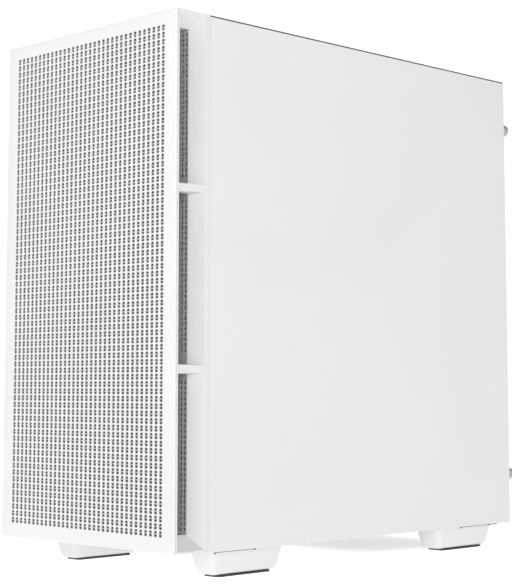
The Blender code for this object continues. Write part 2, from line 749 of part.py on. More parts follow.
def chassis_rear():
    outline = rectangle(FRAME_LEFT, FLOOR_LOW, FRAME_RIGHT, ROOF_TOP)
    holes = [rectangle(*supply_cutout()), rectangle(*connector_cutout())]
    holes += [rectangle(*opening) for opening in slot_openings()]
    holes += fan_circles(REAR_FAN_X, [REAR_FAN_Z])
    holes += screw_holes(-1) + screw_holes(1)
    sheet("chassis_rear", WHITE_PAINT, "XZ", [outline, *holes], REAR_IN, REAR_OUT)


def tray_openings():
    """Backplate window, three cable slots beside the board and one in the supply's chamber."""
    forward, down, back, up = BACKPLATE
    backplate = (CPU_Y - forward, CPU_Z - down, CPU_Y + back, CPU_Z + up)
    beside = BOARD_FRONT - TRAY_SLOT_BESIDE
    third = BOARD / 3
    lows = [BOARD_LOW + i * third for i in range(3)]
    slots = [
        (beside - TRAY_SLOT, low + TRAY_SLOT_END, beside, low + third - TRAY_SLOT_END)
        for low in lows
    ]
    front, floor, rear, ceiling = CHAMBER_MARGIN
    chamber = (SHROUD_FRONT + front, FLOOR_TOP + floor,
               SUPPLY_Y - SUPPLY[1] / 2 - rear, SHROUD_TOP - ceiling)
    return [backplate, *slots, chamber]


def standoff_places():
    rows = (BOARD_LOW + BOARD_INSET, (BOARD_LOW + BOARD_TOP) / 2, BOARD_TOP - BOARD_INSET)
    columns = (BOARD_FRONT + BOARD_INSET, BOARD_REAR - BOARD_REAR_INSET)
    return [(y, z) for y in columns for z in rows]


def motherboard_tray():
    outline = rectangle(INNER_FRONT + GAP, FLOOR_TOP + GAP, REAR_IN - GAP, ROOF_LOW - GAP)
    openings = [rounded(*opening, OPENING_CORNER) for opening in tray_openings()]
    tray = sheet("motherboard_tray", WHITE_PAINT, "YZ", [outline, *openings], TRAY_LEFT, TRAY_RIGHT)
    length = STANDOFF - GAP + STEEL / 2
    join(tray, cylinders=[
        ((BOARD_RIGHT + GAP + length / 2, y, z), (1, 0, 0), STANDOFF_RADIUS, length, 10)
        for y, z in standoff_places()
    ])


def shroud_slot():
    """Opening in the shroud's top beside the board, for cables."""
    left, right, half = SHROUD_SLOT
    return (BOARD_LEFT - left, BOARD_FRONT - half, BOARD_LEFT + right, BOARD_FRONT + half)


def psu_shroud():
    """An angle sheet: a shelf over the power supply and a wall down its glass side."""
    left = LEFT + SHROUD_IN
    low, high = FLOOR_TOP + GAP, SHROUD_TOP
    right = TRAY_LEFT - GAP
    outline = [
        (left, low), (left + STEEL, low), (left + STEEL, high - STEEL),
        (right, high - STEEL), (right, high), (left, high),
    ]
    shroud = sheet("psu_shroud", WHITE_PAINT, "XZ", [outline], SHROUD_FRONT, REAR_IN - GAP)
    x0, y0, x1, y1 = shroud_slot()
    cut(shroud, boxes=[((x0, y0, high - 2 * STEEL), (x1, y1, high + STEEL))])


# ---- Side panels and filters

def right_side_panel():
    front = FRONT + BEZEL_DEPTH + GAP
    panel = solid("right_side_panel", WHITE_PAINT, [(
        (RIGHT - REAR_FLANGE, front, PANEL_BOTTOM), (RIGHT, BACK, PANEL_TOP)
    )])
    cut(panel, boxes=[
        (
            (RIGHT - REAR_FLANGE - PLAY, front - PLAY, PANEL_BOTTOM + STEEL),
            (RIGHT - STEEL, BACK - STEEL, PANEL_TOP - STEEL),
        ),
    ])
    narrow = RIGHT - PANEL_LIP
    cut(panel, boxes=[
        ((narrow - REAR_FLANGE, front - PLAY, z - PLAY), (narrow, BACK - STEEL, z + PLAY))
        for z in (PANEL_BOTTOM, PANEL_TOP)
    ])
    cut(panel, cylinders=[
        ((x, BACK, z), (0, 1, 0), SCREW_SHAFT + FIT, 10 * STEEL, 12) for _, x, z in screw_places() if x > 0
    ])


def glass_edge():
    """Where the pane ends and its steel rear strip begins."""
    return BACK - GLASS_STOP


def left_glass_panel():
    front = FRONT + BEZEL_DEPTH + GAP
    pane = solid("left_glass_panel", SMOKED_GLASS, [(
        (LEFT, front, PANEL_BOTTOM + GAP), (LEFT + GLASS, glass_edge(), PANEL_TOP)
    )])
    bevel(pane, GLASS_EDGE)


def left_panel_bracket():
    """Steel strip behind the pane: an outer face, a rear flange and a lip bonded inside the glass."""
    edge = glass_edge() + GAP
    lip = LEFT + GLASS + GAP
    outline = [
        (LEFT, edge), (LEFT, BACK), (LEFT + LEFT_FLANGE, BACK),
        (LEFT + LEFT_FLANGE, BACK - STEEL), (LEFT + STEEL, BACK - STEEL),
        (LEFT + STEEL, edge + STEEL), (lip + STEEL, edge + STEEL),
        (lip + STEEL, edge - BRACKET_LAP), (lip, edge - BRACKET_LAP), (lip, edge),
    ]
    bracket = sheet("left_panel_bracket", WHITE_PAINT, "XY", [outline], PANEL_BOTTOM, PANEL_TOP)
    cut(bracket, cylinders=[
        ((x, BACK, z), (0, 1, 0), SCREW_SHAFT + FIT, 10 * STEEL, 12) for _, x, z in screw_places() if x < 0
    ])


def thumbscrews():
    out, long = SCREW_COLLAR
    profile = [
        (0, SCREW_HEAD),
        (SCREW_RADIUS - SCREW_EDGE, SCREW_HEAD),
        (SCREW_RADIUS, SCREW_HEAD - SCREW_EDGE),
        (SCREW_RADIUS, long),
        (SCREW_RADIUS + out, long - SCREW_EDGE),
        (SCREW_RADIUS + out, GAP),
        (SCREW_SHAFT, GAP),
        (SCREW_SHAFT, -SCREW_SHANK),
        (0, -SCREW_SHANK),
    ]
    for name, x, z in screw_places():
        turned(name, BRIGHT_STEEL, profile, 16, (x, BACK, z), (-math.pi / 2, 0, 0))


def top_filter():
    """A flat screen in a magnetic rim, laid on the two side panels' upper edges."""
    front, back = FRONT + BEZEL_DEPTH + 2 * GAP, BACK - GAP
    low = PANEL_TOP + GAP
    lift = solid("top_filter", DARK_STEEL, [((LEFT + GAP, front, low), (RIGHT - GAP, back, TOP))])
    rim_low = ROOF_TOP + GAP
    (x0, y0, _, _), (_, _, x1, y1) = roof_vents()
    window = ((x0 - VENT_MARGIN, y0 - VENT_MARGIN), (x1 + VENT_MARGIN, y1 + VENT_MARGIN))
    rim = ((window[0][0] - FILTER_RIM, window[0][1] - FILTER_RIM),
           (window[1][0] + FILTER_RIM, window[1][1] + FILTER_RIM))
    join(lift, boxes=[((*rim[0], rim_low), (*rim[1], low + GAP))])
    cut(lift, boxes=[((*window[0], rim_low - PLAY), (*window[1], low + GAP))])


def psu_filter():
    """A framed screen that slides out to the rear between the rear feet, with a wide handle."""
    high = FLOOR_LOW - GAP
    low = high - FILTER_TRAY
    half = FOOT_TOP[0] - FILTER_SIDE
    grip = FOOT_TOP[1] - HANDLE_SIDE
    neck = BACK - FOOT_REAR + GAP
    front = SUPPLY_Y - FAN / 2 - FILTER_AHEAD
    tray = solid("psu_filter", DARK_STEEL, [((-half, front, low), (half, BACK - GAP, high))])
    join(tray, boxes=[((-grip, neck, low - GAP), (grip, BACK, PANEL_BOTTOM - GAP))])
    edge = FILTER_FRAME
    cut(tray, boxes=[(
        (-half + edge, front + edge, low + FILTER_WEB), (half - edge, neck - edge, high + PLAY)
    )])


# ---- Feet

def foot_rows():
    """Front and rear feet: name, lowest y and which end the hook slot is at."""
    return [
        ("front", FRONT + FOOT_FRONT, 1),
        ("rear", BACK - FOOT_REAR - FOOT_LENGTH, -1),
    ]


def feet():
    for row, start, slot_end in foot_rows():
        for side, name in ((-1, "left"), (1, "right")):
            one_foot(f"foot_{row}_{name}", start, side, slot_end)
            one_pad(f"foot_pad_{row}_{name}", start, side)


def one_foot(name, start, side, slot_end):
    low, high = PAD_THICK + GAP, PANEL_BOTTOM - GAP
    end = start + FOOT_LENGTH

    def ring(inner, outer, y0, y1, z):
        return [Vector((side * inner, y0, z)), Vector((side * outer, y0, z)),
                Vector((side * inner, y1, z)), Vector((side * outer, y1, z))]

    bm = bmesh.new()
    add_frustum(
        bm,
        ring(*FOOT_BOTTOM, start + FOOT_SLOPE, end - FOOT_SLOPE, low),
        ring(*FOOT_TOP, start, end, high),
    )
    level = (low + high) / 2
    edges = [edge for edge in bm.edges if min(vert.co.z for vert in edge.verts) < level]
    bmesh.ops.bevel(bm, geom=edges, offset=FOOT_ROUND, segments=2, affect="EDGES", profile=0.5)
    foot = object_of(bm, name)
    foot.data.materials.append(material(*WHITE_PLASTIC))
    margin = FOOT_SHOULDER
    boss = sorted((side * (FOOT_TOP[0] + margin), side * (RIGHT - PANEL_LIP - PLAY)))
    join(foot, boxes=[(
        (boss[0], start + margin, high - margin), (boss[1], end - margin, FLOOR_LOW - GAP)
    )])
    slot_in, slot_down = FOOT_SLOT
    near = start + FOOT_SLOT_END if slot_end > 0 else end - FOOT_SLOT_END - FOOT_SLOT_LONG
    slot = sorted((side * (FOOT_TOP[1] - slot_in), side * (FOOT_TOP[1] + PLAY)))
    cut(foot, boxes=[((slot[0], near, high - slot_down), (slot[1], near + FOOT_SLOT_LONG, high + GAP / 2))])


def one_pad(name, start, side):
    inner, outer = FOOT_BOTTOM[0] + PAD_SIDES[0], FOOT_BOTTOM[1] - PAD_SIDES[1]
    x0, x1 = sorted((side * inner, side * outer))
    ends = FOOT_SLOPE + PAD_INSET
    outline = rounded(x0, start + ends, x1, start + FOOT_LENGTH - ends, PAD_ROUND)
    sheet(name, RUBBER, "XY", [outline], 0, PAD_THICK)


# ---- Fans

def fan_frame_mesh():
    """A square duct with a motor seat on four struts, its inlet face at z = 0."""
    half = FAN / 2
    outlines = [rounded(-half, -half, half, half, FAN_CORNER, 2), circle(0, 0, FAN_BORE)]
    frame = sheet("fan_frame_master", WHITE_PLASTIC, "XY", outlines, 0, FAN_DEEP)
    width, deep = STRUT
    low = FAN_DEEP - deep
    reach = FAN_BORE + FAN_WALL / 2
    join(frame, boxes=[((-reach, -width, low), (reach, width, FAN_DEEP))])
    join(frame, boxes=[((-width, -reach, low + GAP), (width, reach, FAN_DEEP - GAP))])
    join(frame, cylinders=[((0, 0, FAN_DEEP - deep / 2), (0, 0, 1), ROTOR_HUB, deep - 4 * GAP, 16)])
    return frame


def rotor_mesh(name, radius, hub, length, blades, finish):
    """A hub with pitched flat blades, its inlet face at z = 0."""
    rotor = solid(name, finish, cylinders=[((0, 0, length / 2), (0, 0, 1), hub, length, 16)])
    root = hub - BLADE
    chord = BLADE_SPREAD * 2 * math.pi * hub / blades + BLADE_REACH
    depth = min(length * BLADE_DEPTH, chord * math.sin(BLADE_PITCH))
    chord = depth / math.sin(BLADE_PITCH)
    bm = bmesh.new()
    for i in range(blades):
        angle = 2 * math.pi * i / blades
        turn = Matrix.Rotation(angle, 4, "Z") @ Matrix.Rotation(BLADE_PITCH, 4, "X")
        middle = Matrix.Translation((0, 0, length / 2)) @ turn
        reach = Vector(((root + radius) / 2, 0, 0))
        blade = Matrix.LocRotScale(reach, None, Vector((radius - root, chord, BLADE)))
        bmesh.ops.create_cube(bm, size=1, matrix=middle @ blade)
    tool = object_of(bm, f"{name}_blades", collection="cutters")
    tool.hide_render = True
    tool.display_type = "WIRE"
    modifier = rotor.modifiers.new("blades", "BOOLEAN")
    modifier.operation = "UNION"
    modifier.solver = "EXACT"
    modifier.object = tool
    return rotor


def finished_mesh(obj):
    """The object's mesh with its modifiers and its place applied; the object itself is removed."""
    bpy.context.view_layer.update()
    graph = bpy.context.evaluated_depsgraph_get()
    mesh = bpy.data.meshes.new_from_object(obj.evaluated_get(graph))
    mesh.transform(obj.matrix_world)
    bpy.data.objects.remove(obj)
    return mesh


def place_copy(name, mesh, location, rotation):
    obj = bpy.data.objects.new(name, mesh)
    obj.location = location
    obj.rotation_euler = rotation
    bpy.data.collections["desktop_tower"].objects.link(obj)


BACKWARDS = (-math.pi / 2, 0, 0)  # a fan's own +Z, its outlet, turned to +Y


def case_fans():
    """Three front fans, the rear fan and the processor's fan share one frame and one rotor."""
    frame = finished_mesh(fan_frame_mesh())
    rotor = finished_mesh(
        rotor_mesh("fan_rotor_master", ROTOR_RADIUS, ROTOR_HUB, ROTOR_LENGTH, BLADES, WHITE_PLASTIC)
    )
    places = [(f"front_fan_{i + 1}", (0, INNER_FRONT + GAP, z)) for i, z in enumerate(FAN_LEVELS)]
    places.append(("rear_fan", (REAR_FAN_X, REAR_IN - GAP - FAN_DEEP, REAR_FAN_Z)))
    places.append(("cpu_fan", (cooler_middle(), CPU_Y - COOLER[1] / 2 - GAP - FAN_DEEP, CPU_Z)))
    for name, (x, y, z) in places:
        place_copy(f"{name}_frame", frame, (x, y, z), BACKWARDS)
        place_copy(f"{name}_rotor", rotor, (x, y + ROTOR_START, z), BACKWARDS)
    place_copy("psu_fan_rotor", rotor, (SUPPLY_X, SUPPLY_Y, SUPPLY_LOW + ROTOR_START), (0, 0, 0))


# ---- Board and cards

def motherboard():
    board = solid("motherboard", BOARD_LACQUER, [(
        (BOARD_LEFT, BOARD_FRONT, BOARD_LOW), (BOARD_RIGHT, BOARD_REAR, BOARD_TOP)
    )])
    root = BOARD_LEFT + GAP

    def on_board(height, y0, z0, y1, z1):
        return ((BOARD_LEFT - height, y0, z0), (root, y1, z1))

    below, above = MEMORY_SLOT_ENDS
    tall, half = MEMORY_SLOT
    memory = [
        on_board(tall, y - half, CPU_Z - below, y + half, CPU_Z + above) for y in memory_rows(4)
    ]
    tall, half = CARD_SLOT
    start, end = [BOARD_REAR - reach for reach in CARD_SLOT_ENDS]
    slots = [
        on_board(tall, start, z - half, end, z + half)
        for z in (FIRST_SLOT, BOARD_LOW + LOW_SLOT_UP)
    ]
    tall, half = PROCESSOR
    processor = on_board(tall, CPU_Y - half, CPU_Z - half, CPU_Y + half, CPU_Z + half)
    tall, wide, long = POWER_SOCKET
    y, z = BOARD_FRONT + POWER_SOCKET_EDGE, CPU_Z - POWER_SOCKET_DOWN
    power = on_board(tall, y, z - long, y + wide, z)
    tall, wide, long = REAR_SINK
    y = BOARD_REAR - REAR_SINK_BACK
    rear_sink = on_board(tall, y - wide, CPU_Z - long / 2, y, CPU_Z + long / 2)
    tall, long, wide = TOP_SINK
    z = BOARD_TOP - TOP_SINK_DOWN
    top_sink = on_board(tall, CPU_Y - long / 2, z - wide, CPU_Y + long / 2, z)
    tall, long, wide = CHIPSET
    y, z = BOARD_FRONT + CHIPSET_CORNER[0], BOARD_LOW + CHIPSET_CORNER[1]
    chipset = on_board(tall, y, z, y + long, z + wide)
    join(board, boxes=[*memory, *slots, processor, power, rear_sink, top_sink, chipset])


def memory_rows(count):
    """Slots in front of the processor, in steps away from it."""
    return [CPU_Y - MEMORY_AHEAD - MEMORY_PITCH * i for i in range(count)]


def memory_sticks():
    seat = BOARD_LEFT - MEMORY_SLOT[0] - GAP
    tall, long, thick = MEMORY_STICK
    low = CPU_Z + MEMORY_UP - long / 2
    for i, y in enumerate(memory_rows(4)[1::2]):
        solid(f"memory_stick_{i + 1}", DARK_STEEL, [(
            (seat - tall, y - thick / 2, low), (seat, y + thick / 2, low + long)
        )])


def nvme_drive():
    long, wide, high = DRIVE
    y, z = CPU_Y - DRIVE_AHEAD, FIRST_SLOT + DRIVE_UP
    solid("nvme_drive", DARK_STEEL, [(
        (BOARD_LEFT - high, y, z), (BOARD_LEFT - GAP, y + long, z + wide)
    )])


def rear_connectors():
    """The board's block of sockets with its shield, which fills the opening in the rear wall."""
    x0, z0, x1, z1 = connector_cutout()
    front, rear = REAR_IN - SHIELD_STEP[0], REAR_OUT + SHIELD_STEP[1]
    shield = ((x0 + FIT, front, z0 + FIT), (x1 - FIT, rear, z1 - FIT))
    block = solid("rear_connectors", BRIGHT_STEEL, [shield])
    join(block, boxes=[(
        (x0 + SHIELD_LAP, BOARD_REAR - CONNECTOR_DEEP, z0 + SHIELD_LAP),
        (BOARD_LEFT - GAP, REAR_IN, z1 - SHIELD_LAP),
    )])


def cooler_middle():
    return BOARD_LEFT - COOLER_STAND - COOLER[0] / 2


def comb_outline(low_u, high_u, low_v, high_v, fins, fin, spine):
    """Fins on both sides of a spine that runs along u."""
    pitch = (high_u - low_u - fin) / (fins - 1)
    middle = (low_v + high_v) / 2
    sides = []
    for tip, root, order in ((high_v, middle + spine / 2, 1), (low_v, middle - spine / 2, -1)):
        row = []
        for i in range(fins):
            start = low_u + i * pitch
            row += [(start, root), (start, tip), (start + fin, tip), (start + fin, root)]
        sides.append(row[1:-1][::order])
    return sides[0] + sides[1]


def cpu_cooler():
    """Fins along the heat pipes' spine, a neck of pipes and a base plate on the processor."""
    across, deep, high = COOLER
    x = cooler_middle()
    outline = comb_outline(
        x - across / 2, x + across / 2, CPU_Y - deep / 2, CPU_Y + deep / 2, FINS, FIN, COOLER_SPINE
    )
    block = sheet("cpu_cooler", ALUMINIUM, "XY", [outline], CPU_Z - high / 2, CPU_Z + high / 2)
    seat = BOARD_LEFT - PROCESSOR[0] - GAP
    half_y, half_z = COOLER_NECK
    half, thick = COOLER_BASE
    join(block, boxes=[(
        (x + across / 2 - FIN, CPU_Y - half_y, CPU_Z - half_z),
        (seat - thick + FIN, CPU_Y + half_y, CPU_Z + half_z),
    )])
    join(block, boxes=[(
        (seat - thick, CPU_Y - half, CPU_Z - half), (seat, CPU_Y + half, CPU_Z + half)
    )])


def card_middle():
    return CARD_RIGHT - CARD[0] / 2


def card_rotor_rows():
    middle = CARD_REAR - CARD[1] / 2
    return [middle - CARD_ROTOR_PITCH / 2, middle + CARD_ROTOR_PITCH / 2]


def graphics_card():
    across, long, thick = CARD
    x = card_middle()
    card = solid("graphics_card", BLACK_PLASTIC, [(
        (x - across / 2, CARD_REAR - long, CARD_TOP - thick), (x + across / 2, CARD_REAR, CARD_TOP)
    )])
    cut(card, cylinders=[
        ((x, y, CARD_TOP - thick), (0, 0, 1), CARD_ROTOR + PLAY, 2 * CARD_RECESS, 28)
        for y in card_rotor_rows()
    ])


def graphics_bracket():
    x0, z0, x1, z1 = slot_openings()[0]
    solid("graphics_bracket", BRIGHT_STEEL, [(
        (x0 + FIT, CARD_REAR + GAP, z0 + FIT), (x1 - FIT, REAR_OUT - GAP, z1 - FIT)
    )])


def graphics_rotors():
    length = CARD_RECESS - 2 * PLAY
    rotor = finished_mesh(
        rotor_mesh("card_rotor_master", CARD_ROTOR, CARD_HUB, length, CARD_BLADES, BLACK_PLASTIC)
    )
    for i, y in enumerate(card_rotor_rows()):
        low = CARD_TOP - CARD[2] + PLAY
        place_copy(f"graphics_rotor_{i + 1}", rotor, (card_middle(), y, low), (0, 0, 0))


def slot_covers():
    margin = COVER_LAP
    for i, (x0, z0, x1, z1) in enumerate(slot_openings()[1:]):
        solid(f"slot_cover_{i + 1}", WHITE_PAINT, [(
            (x0 - margin, REAR_IN - GAP - STEEL, z0 - margin), (x1 + margin, REAR_IN - GAP, z1 + margin)
        )])


# ---- Power supply

def inlet_centre():
    return Vector((
        SUPPLY_X - SUPPLY[0] / 2 + INLET_IN, REAR_IN - GAP, SUPPLY_LOW + SUPPLY[2] - INLET_DOWN
    ))


def rocker_centre():
    return inlet_centre() + Vector((ROCKER_BESIDE, -ROCKER_SINK, 0))


def supply_box():
    half = Vector((SUPPLY[0] / 2, SUPPLY[1] / 2, 0))
    middle = Vector((SUPPLY_X, SUPPLY_Y, SUPPLY_LOW))
    return middle - half, middle + half + Vector((0, 0, SUPPLY[2]))


def psu_case():
    """A steel box that is open to the fan below it, with openings for the inlet and the rocker."""
    low, high = supply_box()
    wall = Vector((SUPPLY_WALL, SUPPLY_WALL, SUPPLY_WALL))
    case = solid("psu_case", DARK_STEEL, [(low, high)])
    cut(case, boxes=[(low + wall, high - wall)])
    cut(case, cylinders=[
        ((SUPPLY_X, SUPPLY_Y, SUPPLY_LOW), (0, 0, 1), ROTOR_RADIUS + PLAY, 4 * SUPPLY_WALL, SIDES)
    ])
    inlet, rocker = inlet_centre(), rocker_centre()
    across, _, up = INLET
    inner, outer = high.y - 2 * SUPPLY_WALL, high.y + PLAY
    half_x, half_z = ROCKER_HALF
    cut(case, boxes=[
        (
            (inlet.x - across / 2 - GAP, inner, inlet.z - up / 2 - GAP),
            (inlet.x + across / 2 + GAP, outer, inlet.z + up / 2 + GAP),
        ),
        (
            (rocker.x - half_x - PLAY, inner, rocker.z - half_z - PLAY),
            (rocker.x + half_x + PLAY, outer, rocker.z + half_z + PLAY),
        ),
    ])


def psu_inlet():
    """Mains inlet: an open well with three pins."""
    across, deep, high = INLET
    centre = inlet_centre()
    face = centre.y + INLET_LIP
    inlet = solid("psu_inlet", BLACK_PLASTIC, [(
        (centre.x - across / 2, centre.y - deep, centre.z - high / 2),
        (centre.x + across / 2, face, centre.z + high / 2),
    )])
    wall = INLET_WALL
    floor = centre.y - deep + wall
    cut(inlet, boxes=[(
        (centre.x - across / 2 + wall, floor, centre.z - high / 2 + wall),
        (centre.x + across / 2 - wall, face + PLAY, centre.z + high / 2 - wall),
    )])
    half_x, half_z = PIN_HALF
    join(inlet, boxes=[
        (
            (centre.x + dx - half_x, floor - wall / 2, centre.z + dz - half_z),
            (centre.x + dx + half_x, face - PIN_SINK, centre.z + dz + half_z),
        )
        for dx, dz in PINS
    ])


def psu_switch():
    """A rocker: two faces that meet at a shallow angle, tilted to one end of its throw."""
    half_x, half_z = ROCKER_HALF
    drop, taper = ROCKER_EDGE
    face = ROCKER_DEEP - drop
    outline = [(face, half_z), (-ROCKER_DEEP, half_z - taper), (-ROCKER_DEEP, -half_z + taper),
               (face, -half_z), (face - ROCKER_RISE, 0)]
    rocker = sheet("psu_switch", BLACK_PLASTIC, "YZ", [outline], -half_x, half_x)
    rocker.location = rocker_centre()
    rocker.rotation_euler = (math.pi / 2, -ROCKER_TILT, math.pi / 2)


# ---- Cables held inside the case

def cable(name, points, radius):
    """A bundle drawn as one round tube along a smooth curve through its own points."""
    curve = bpy.data.curves.new(name, "CURVE")
    curve.dimensions = "3D"
    curve.bevel_depth = radius
    curve.bevel_resolution = 2
    curve.use_fill_caps = True
    path = smooth_path([Vector(point) for point in points], 4)
    spline = curve.splines.new("POLY")
    spline.points.add(len(path) - 1)
    for target, point in zip(spline.points, path):
        target.co = (*point, 1)
    obj = mesh_of(bpy.data.objects.new(name, curve))
    obj.data.materials.append(material(*SLEEVE))


def smooth_path(points, steps):
    """Catmull-Rom through the points, with the end tangents kept straight."""
    ends = [2 * points[0] - points[1], *points, 2 * points[-1] - points[-2]]
    path = []
    for a, b, c, d in zip(ends, ends[1:], ends[2:], ends[3:]):
        for i in range(steps):
            t = i / steps
            path.append(0.5 * (2 * b + (c - a) * t + (2 * a - 5 * b + 4 * c - d) * t * t
                               + (3 * b - a - 3 * c + d) * t ** 3))
    return [*path, points[-1]]


def cables():
    radius = 0.0045
    x = BOARD_LEFT - 0.012 - 2 * GAP
    z = CPU_Z - 0.029
    y = BOARD_FRONT + 0.007
    slot_y = BOARD_FRONT - 0.016
    cable("board_power_cable", [
        (x, y, z), (x - 0.006, y, z), (x - 0.014, y - 0.005, z), (x - 0.017, y - 0.015, z - 0.004),
        (x - 0.006, slot_y - 0.003, z - 0.008), (TRAY_LEFT - 0.004, slot_y, z - 0.01),
        (TRAY_RIGHT + 0.010, slot_y, z - 0.01),
    ], radius)
    front = CARD_REAR - CARD[1] - 2 * GAP
    slot = shroud_slot()
    low_x, low_y = (slot[0] + slot[2]) / 2 - 0.002, slot[1] + 0.014
    top = CARD_TOP - 0.012
    card_x = CARD_RIGHT - 0.016
    cable("graphics_power_cable", [
        (card_x, front, top), (card_x, front - 0.005, top), (card_x, front - 0.013, top - 0.008),
        (low_x, low_y, top - 0.04), (low_x, low_y, SHROUD_TOP), (low_x, low_y, SHROUD_TOP - 0.025),
        (low_x - 0.004, low_y + 0.02, SHROUD_TOP - 0.045),
    ], 0.0035)


def build():
    fresh_scene()
    front_mesh_plate()
    front_bezel()
    front_inner_mesh()
    buttons()
    sockets()
    chassis_front()
    chassis_floor()
    chassis_roof()
    chassis_rear()
    motherboard_tray()
    psu_shroud()
    right_side_panel()
    left_glass_panel()
    left_panel_bracket()
    thumbscrews()
    top_filter()
    psu_filter()
    feet()
    case_fans()
    motherboard()
    memory_sticks()
    nvme_drive()
    rear_connectors()
    cpu_cooler()
    graphics_card()
    graphics_bracket()
    graphics_rotors()
    slot_covers()
    psu_case()
    psu_inlet()
    psu_switch()
    cables()


build()
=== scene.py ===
import json
import math

import bmesh
import bpy
from mathutils import Matrix, Vector

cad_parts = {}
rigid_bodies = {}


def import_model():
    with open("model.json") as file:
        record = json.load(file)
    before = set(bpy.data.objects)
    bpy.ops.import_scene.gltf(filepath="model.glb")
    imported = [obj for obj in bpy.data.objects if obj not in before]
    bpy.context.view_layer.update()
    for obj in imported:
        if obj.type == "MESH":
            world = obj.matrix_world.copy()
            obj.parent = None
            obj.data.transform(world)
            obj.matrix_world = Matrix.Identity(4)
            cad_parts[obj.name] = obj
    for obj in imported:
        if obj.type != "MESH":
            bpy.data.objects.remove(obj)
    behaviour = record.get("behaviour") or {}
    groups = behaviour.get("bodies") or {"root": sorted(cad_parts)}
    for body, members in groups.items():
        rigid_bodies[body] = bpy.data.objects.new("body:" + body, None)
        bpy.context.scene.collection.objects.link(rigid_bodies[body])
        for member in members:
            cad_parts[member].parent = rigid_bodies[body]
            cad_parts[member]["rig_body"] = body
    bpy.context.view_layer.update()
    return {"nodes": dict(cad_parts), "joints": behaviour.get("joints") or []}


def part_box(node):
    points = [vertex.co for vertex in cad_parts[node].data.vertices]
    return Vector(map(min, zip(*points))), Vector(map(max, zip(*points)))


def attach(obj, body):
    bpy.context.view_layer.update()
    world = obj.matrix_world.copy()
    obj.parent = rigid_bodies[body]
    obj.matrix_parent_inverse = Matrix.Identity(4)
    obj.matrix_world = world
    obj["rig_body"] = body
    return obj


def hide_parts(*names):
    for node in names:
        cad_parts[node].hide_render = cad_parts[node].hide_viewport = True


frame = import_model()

NODES = frame["nodes"]
SLOTS = {name: node.data.materials[0].name for name, node in NODES.items()}

# ---- sizes, in metres ----
GAP = 0.0003  # room between pieces that touch

PLATE_COLUMNS, PLATE_ROWS = 34, 70
PLATE_PITCH = 0.005588
PLATE_TOP_ROW = 0.0132  # from the plate's top edge to its first row's middle
PLATE_HOLE = (0.0035, 0.0046)
PLATE_CORNER = 0.0011
PLATE_SHEET = 0.0007  # thickness of its perforated field
PLATE_RIM = 0.0009  # rounding of the plate's outer edge

BAR_HEIGHT, BAR_DEPTH, BAR_ROUND = 0.0010, 0.0004, 0.00012
BAR_BACK = 0.0008  # from the plate's face to the front of its stiffening bars
CLOTH_BACK, CLOTH_THICK = 0.00125, 0.0002  # the fine dust cloth behind the bars

SCREEN_COLUMNS = 47  # inner mesh
SCREEN_PITCH = (0.00407, 0.0041)
SCREEN_SHEET = 0.0006
SCREEN_HOLE = (0.0023, 0.0029)
SCREEN_CORNER = 0.0006
SCREEN_MARGIN = 0.002
SCREEN_BANDS = ((0.1496, 0.1711), (0.2886, 0.3087))

WEAVE_PITCH = 0.0036  # dust filters
WEAVE_HOLE = (0.0026, 0.0026)

FILTER_BORDER, FILTER_RIM = 0.007, 0.0004
FILTER_THICK, FILTER_SINK = 0.0009, 0.0002
TRAY_SIDE, TRAY_RAIL, TRAY_WEB, TRAY_HANDLE = 0.006, 0.007, 0.0012, 0.0026
GRIP_RIBS, GRIP_PITCH, GRIP_RIB, GRIP_END = 9, 0.006, 0.0012, 0.003  # on the tray's handle

PANEL_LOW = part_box("right_side_panel")[0].z
PANEL_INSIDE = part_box("right_side_panel")[0].x - 0.0015
REAR_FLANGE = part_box("right_side_panel")[1].y
BOARD_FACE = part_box("nvme_drive")[1].x + GAP

FOOT_OUTER = (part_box("foot_front_right")[1].x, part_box("foot_pad_front_right")[1].x + 0.001)
FOOT_INNER = (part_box("foot_front_right")[0].x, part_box("foot_pad_front_right")[0].x - 0.002)
FOOT_ROUND, FOOT_CORNER = 0.0035, 0.0042
FOOT_LEAN = 0.0052  # each end leans in by this much
FOOT_LEVELS, FOOT_TURN = 10, 5  # rings from bottom to top, and those of the round edge
FOOT_BOSS = 0.002
# The dark strip along each foot's outer top edge is painted shadow of the gap under the side panel;
# these place it.
NOTCH_END, NOTCH_LONG = 0.004, 0.043
NOTCH_IN, NOTCH_DOWN = 0.0012, 0.0014

TIP = 0.0001  # radius at which a turned shape closes
THREADS, THREAD_PITCH, SCREW_CROSS = 7, 0.0005, 0.42

FIN_PITCH, FIN_THICK, FIN_INSET = 0.0022, 0.0005, 0.0002
PIPES, PIPE_PITCH, PIPE_RADIUS = 4, 0.0095, 0.003
BASE_HALF, BASE_THICK = 0.02, 0.014
POST_INSET, POST_RADIUS = 0.006, 0.0018

TRIMS, TRIM_END, TRIM_SPACE = 3, 0.02, 0.008  # on the graphics card's side
CARD_FIN_PITCH, CARD_FIN_THICK = 0.0032, 0.0008
CARD_SLITS, CARD_SLIT_PITCH = 6, 0.009

CHOKES, CHOKE_PITCH = 7, 0.012  # on the motherboard
SMALL_PARTS = 40

SOCKET_PROUD, SOCKET_RIM = 0.0008, 0.0007  # rear sockets
REAR_PLATE_EDGE = 0.003
STRIP_RIM, BRACKET_THICK = 0.0003, 0.0011
VENT_PITCH, VENT_COLUMNS, VENT_ROWS = 0.0050, 27, 15
GUARD_RINGS, GUARD_PITCH = 6, 0.0092

EDGE = 0.0005  # rounding of most edges


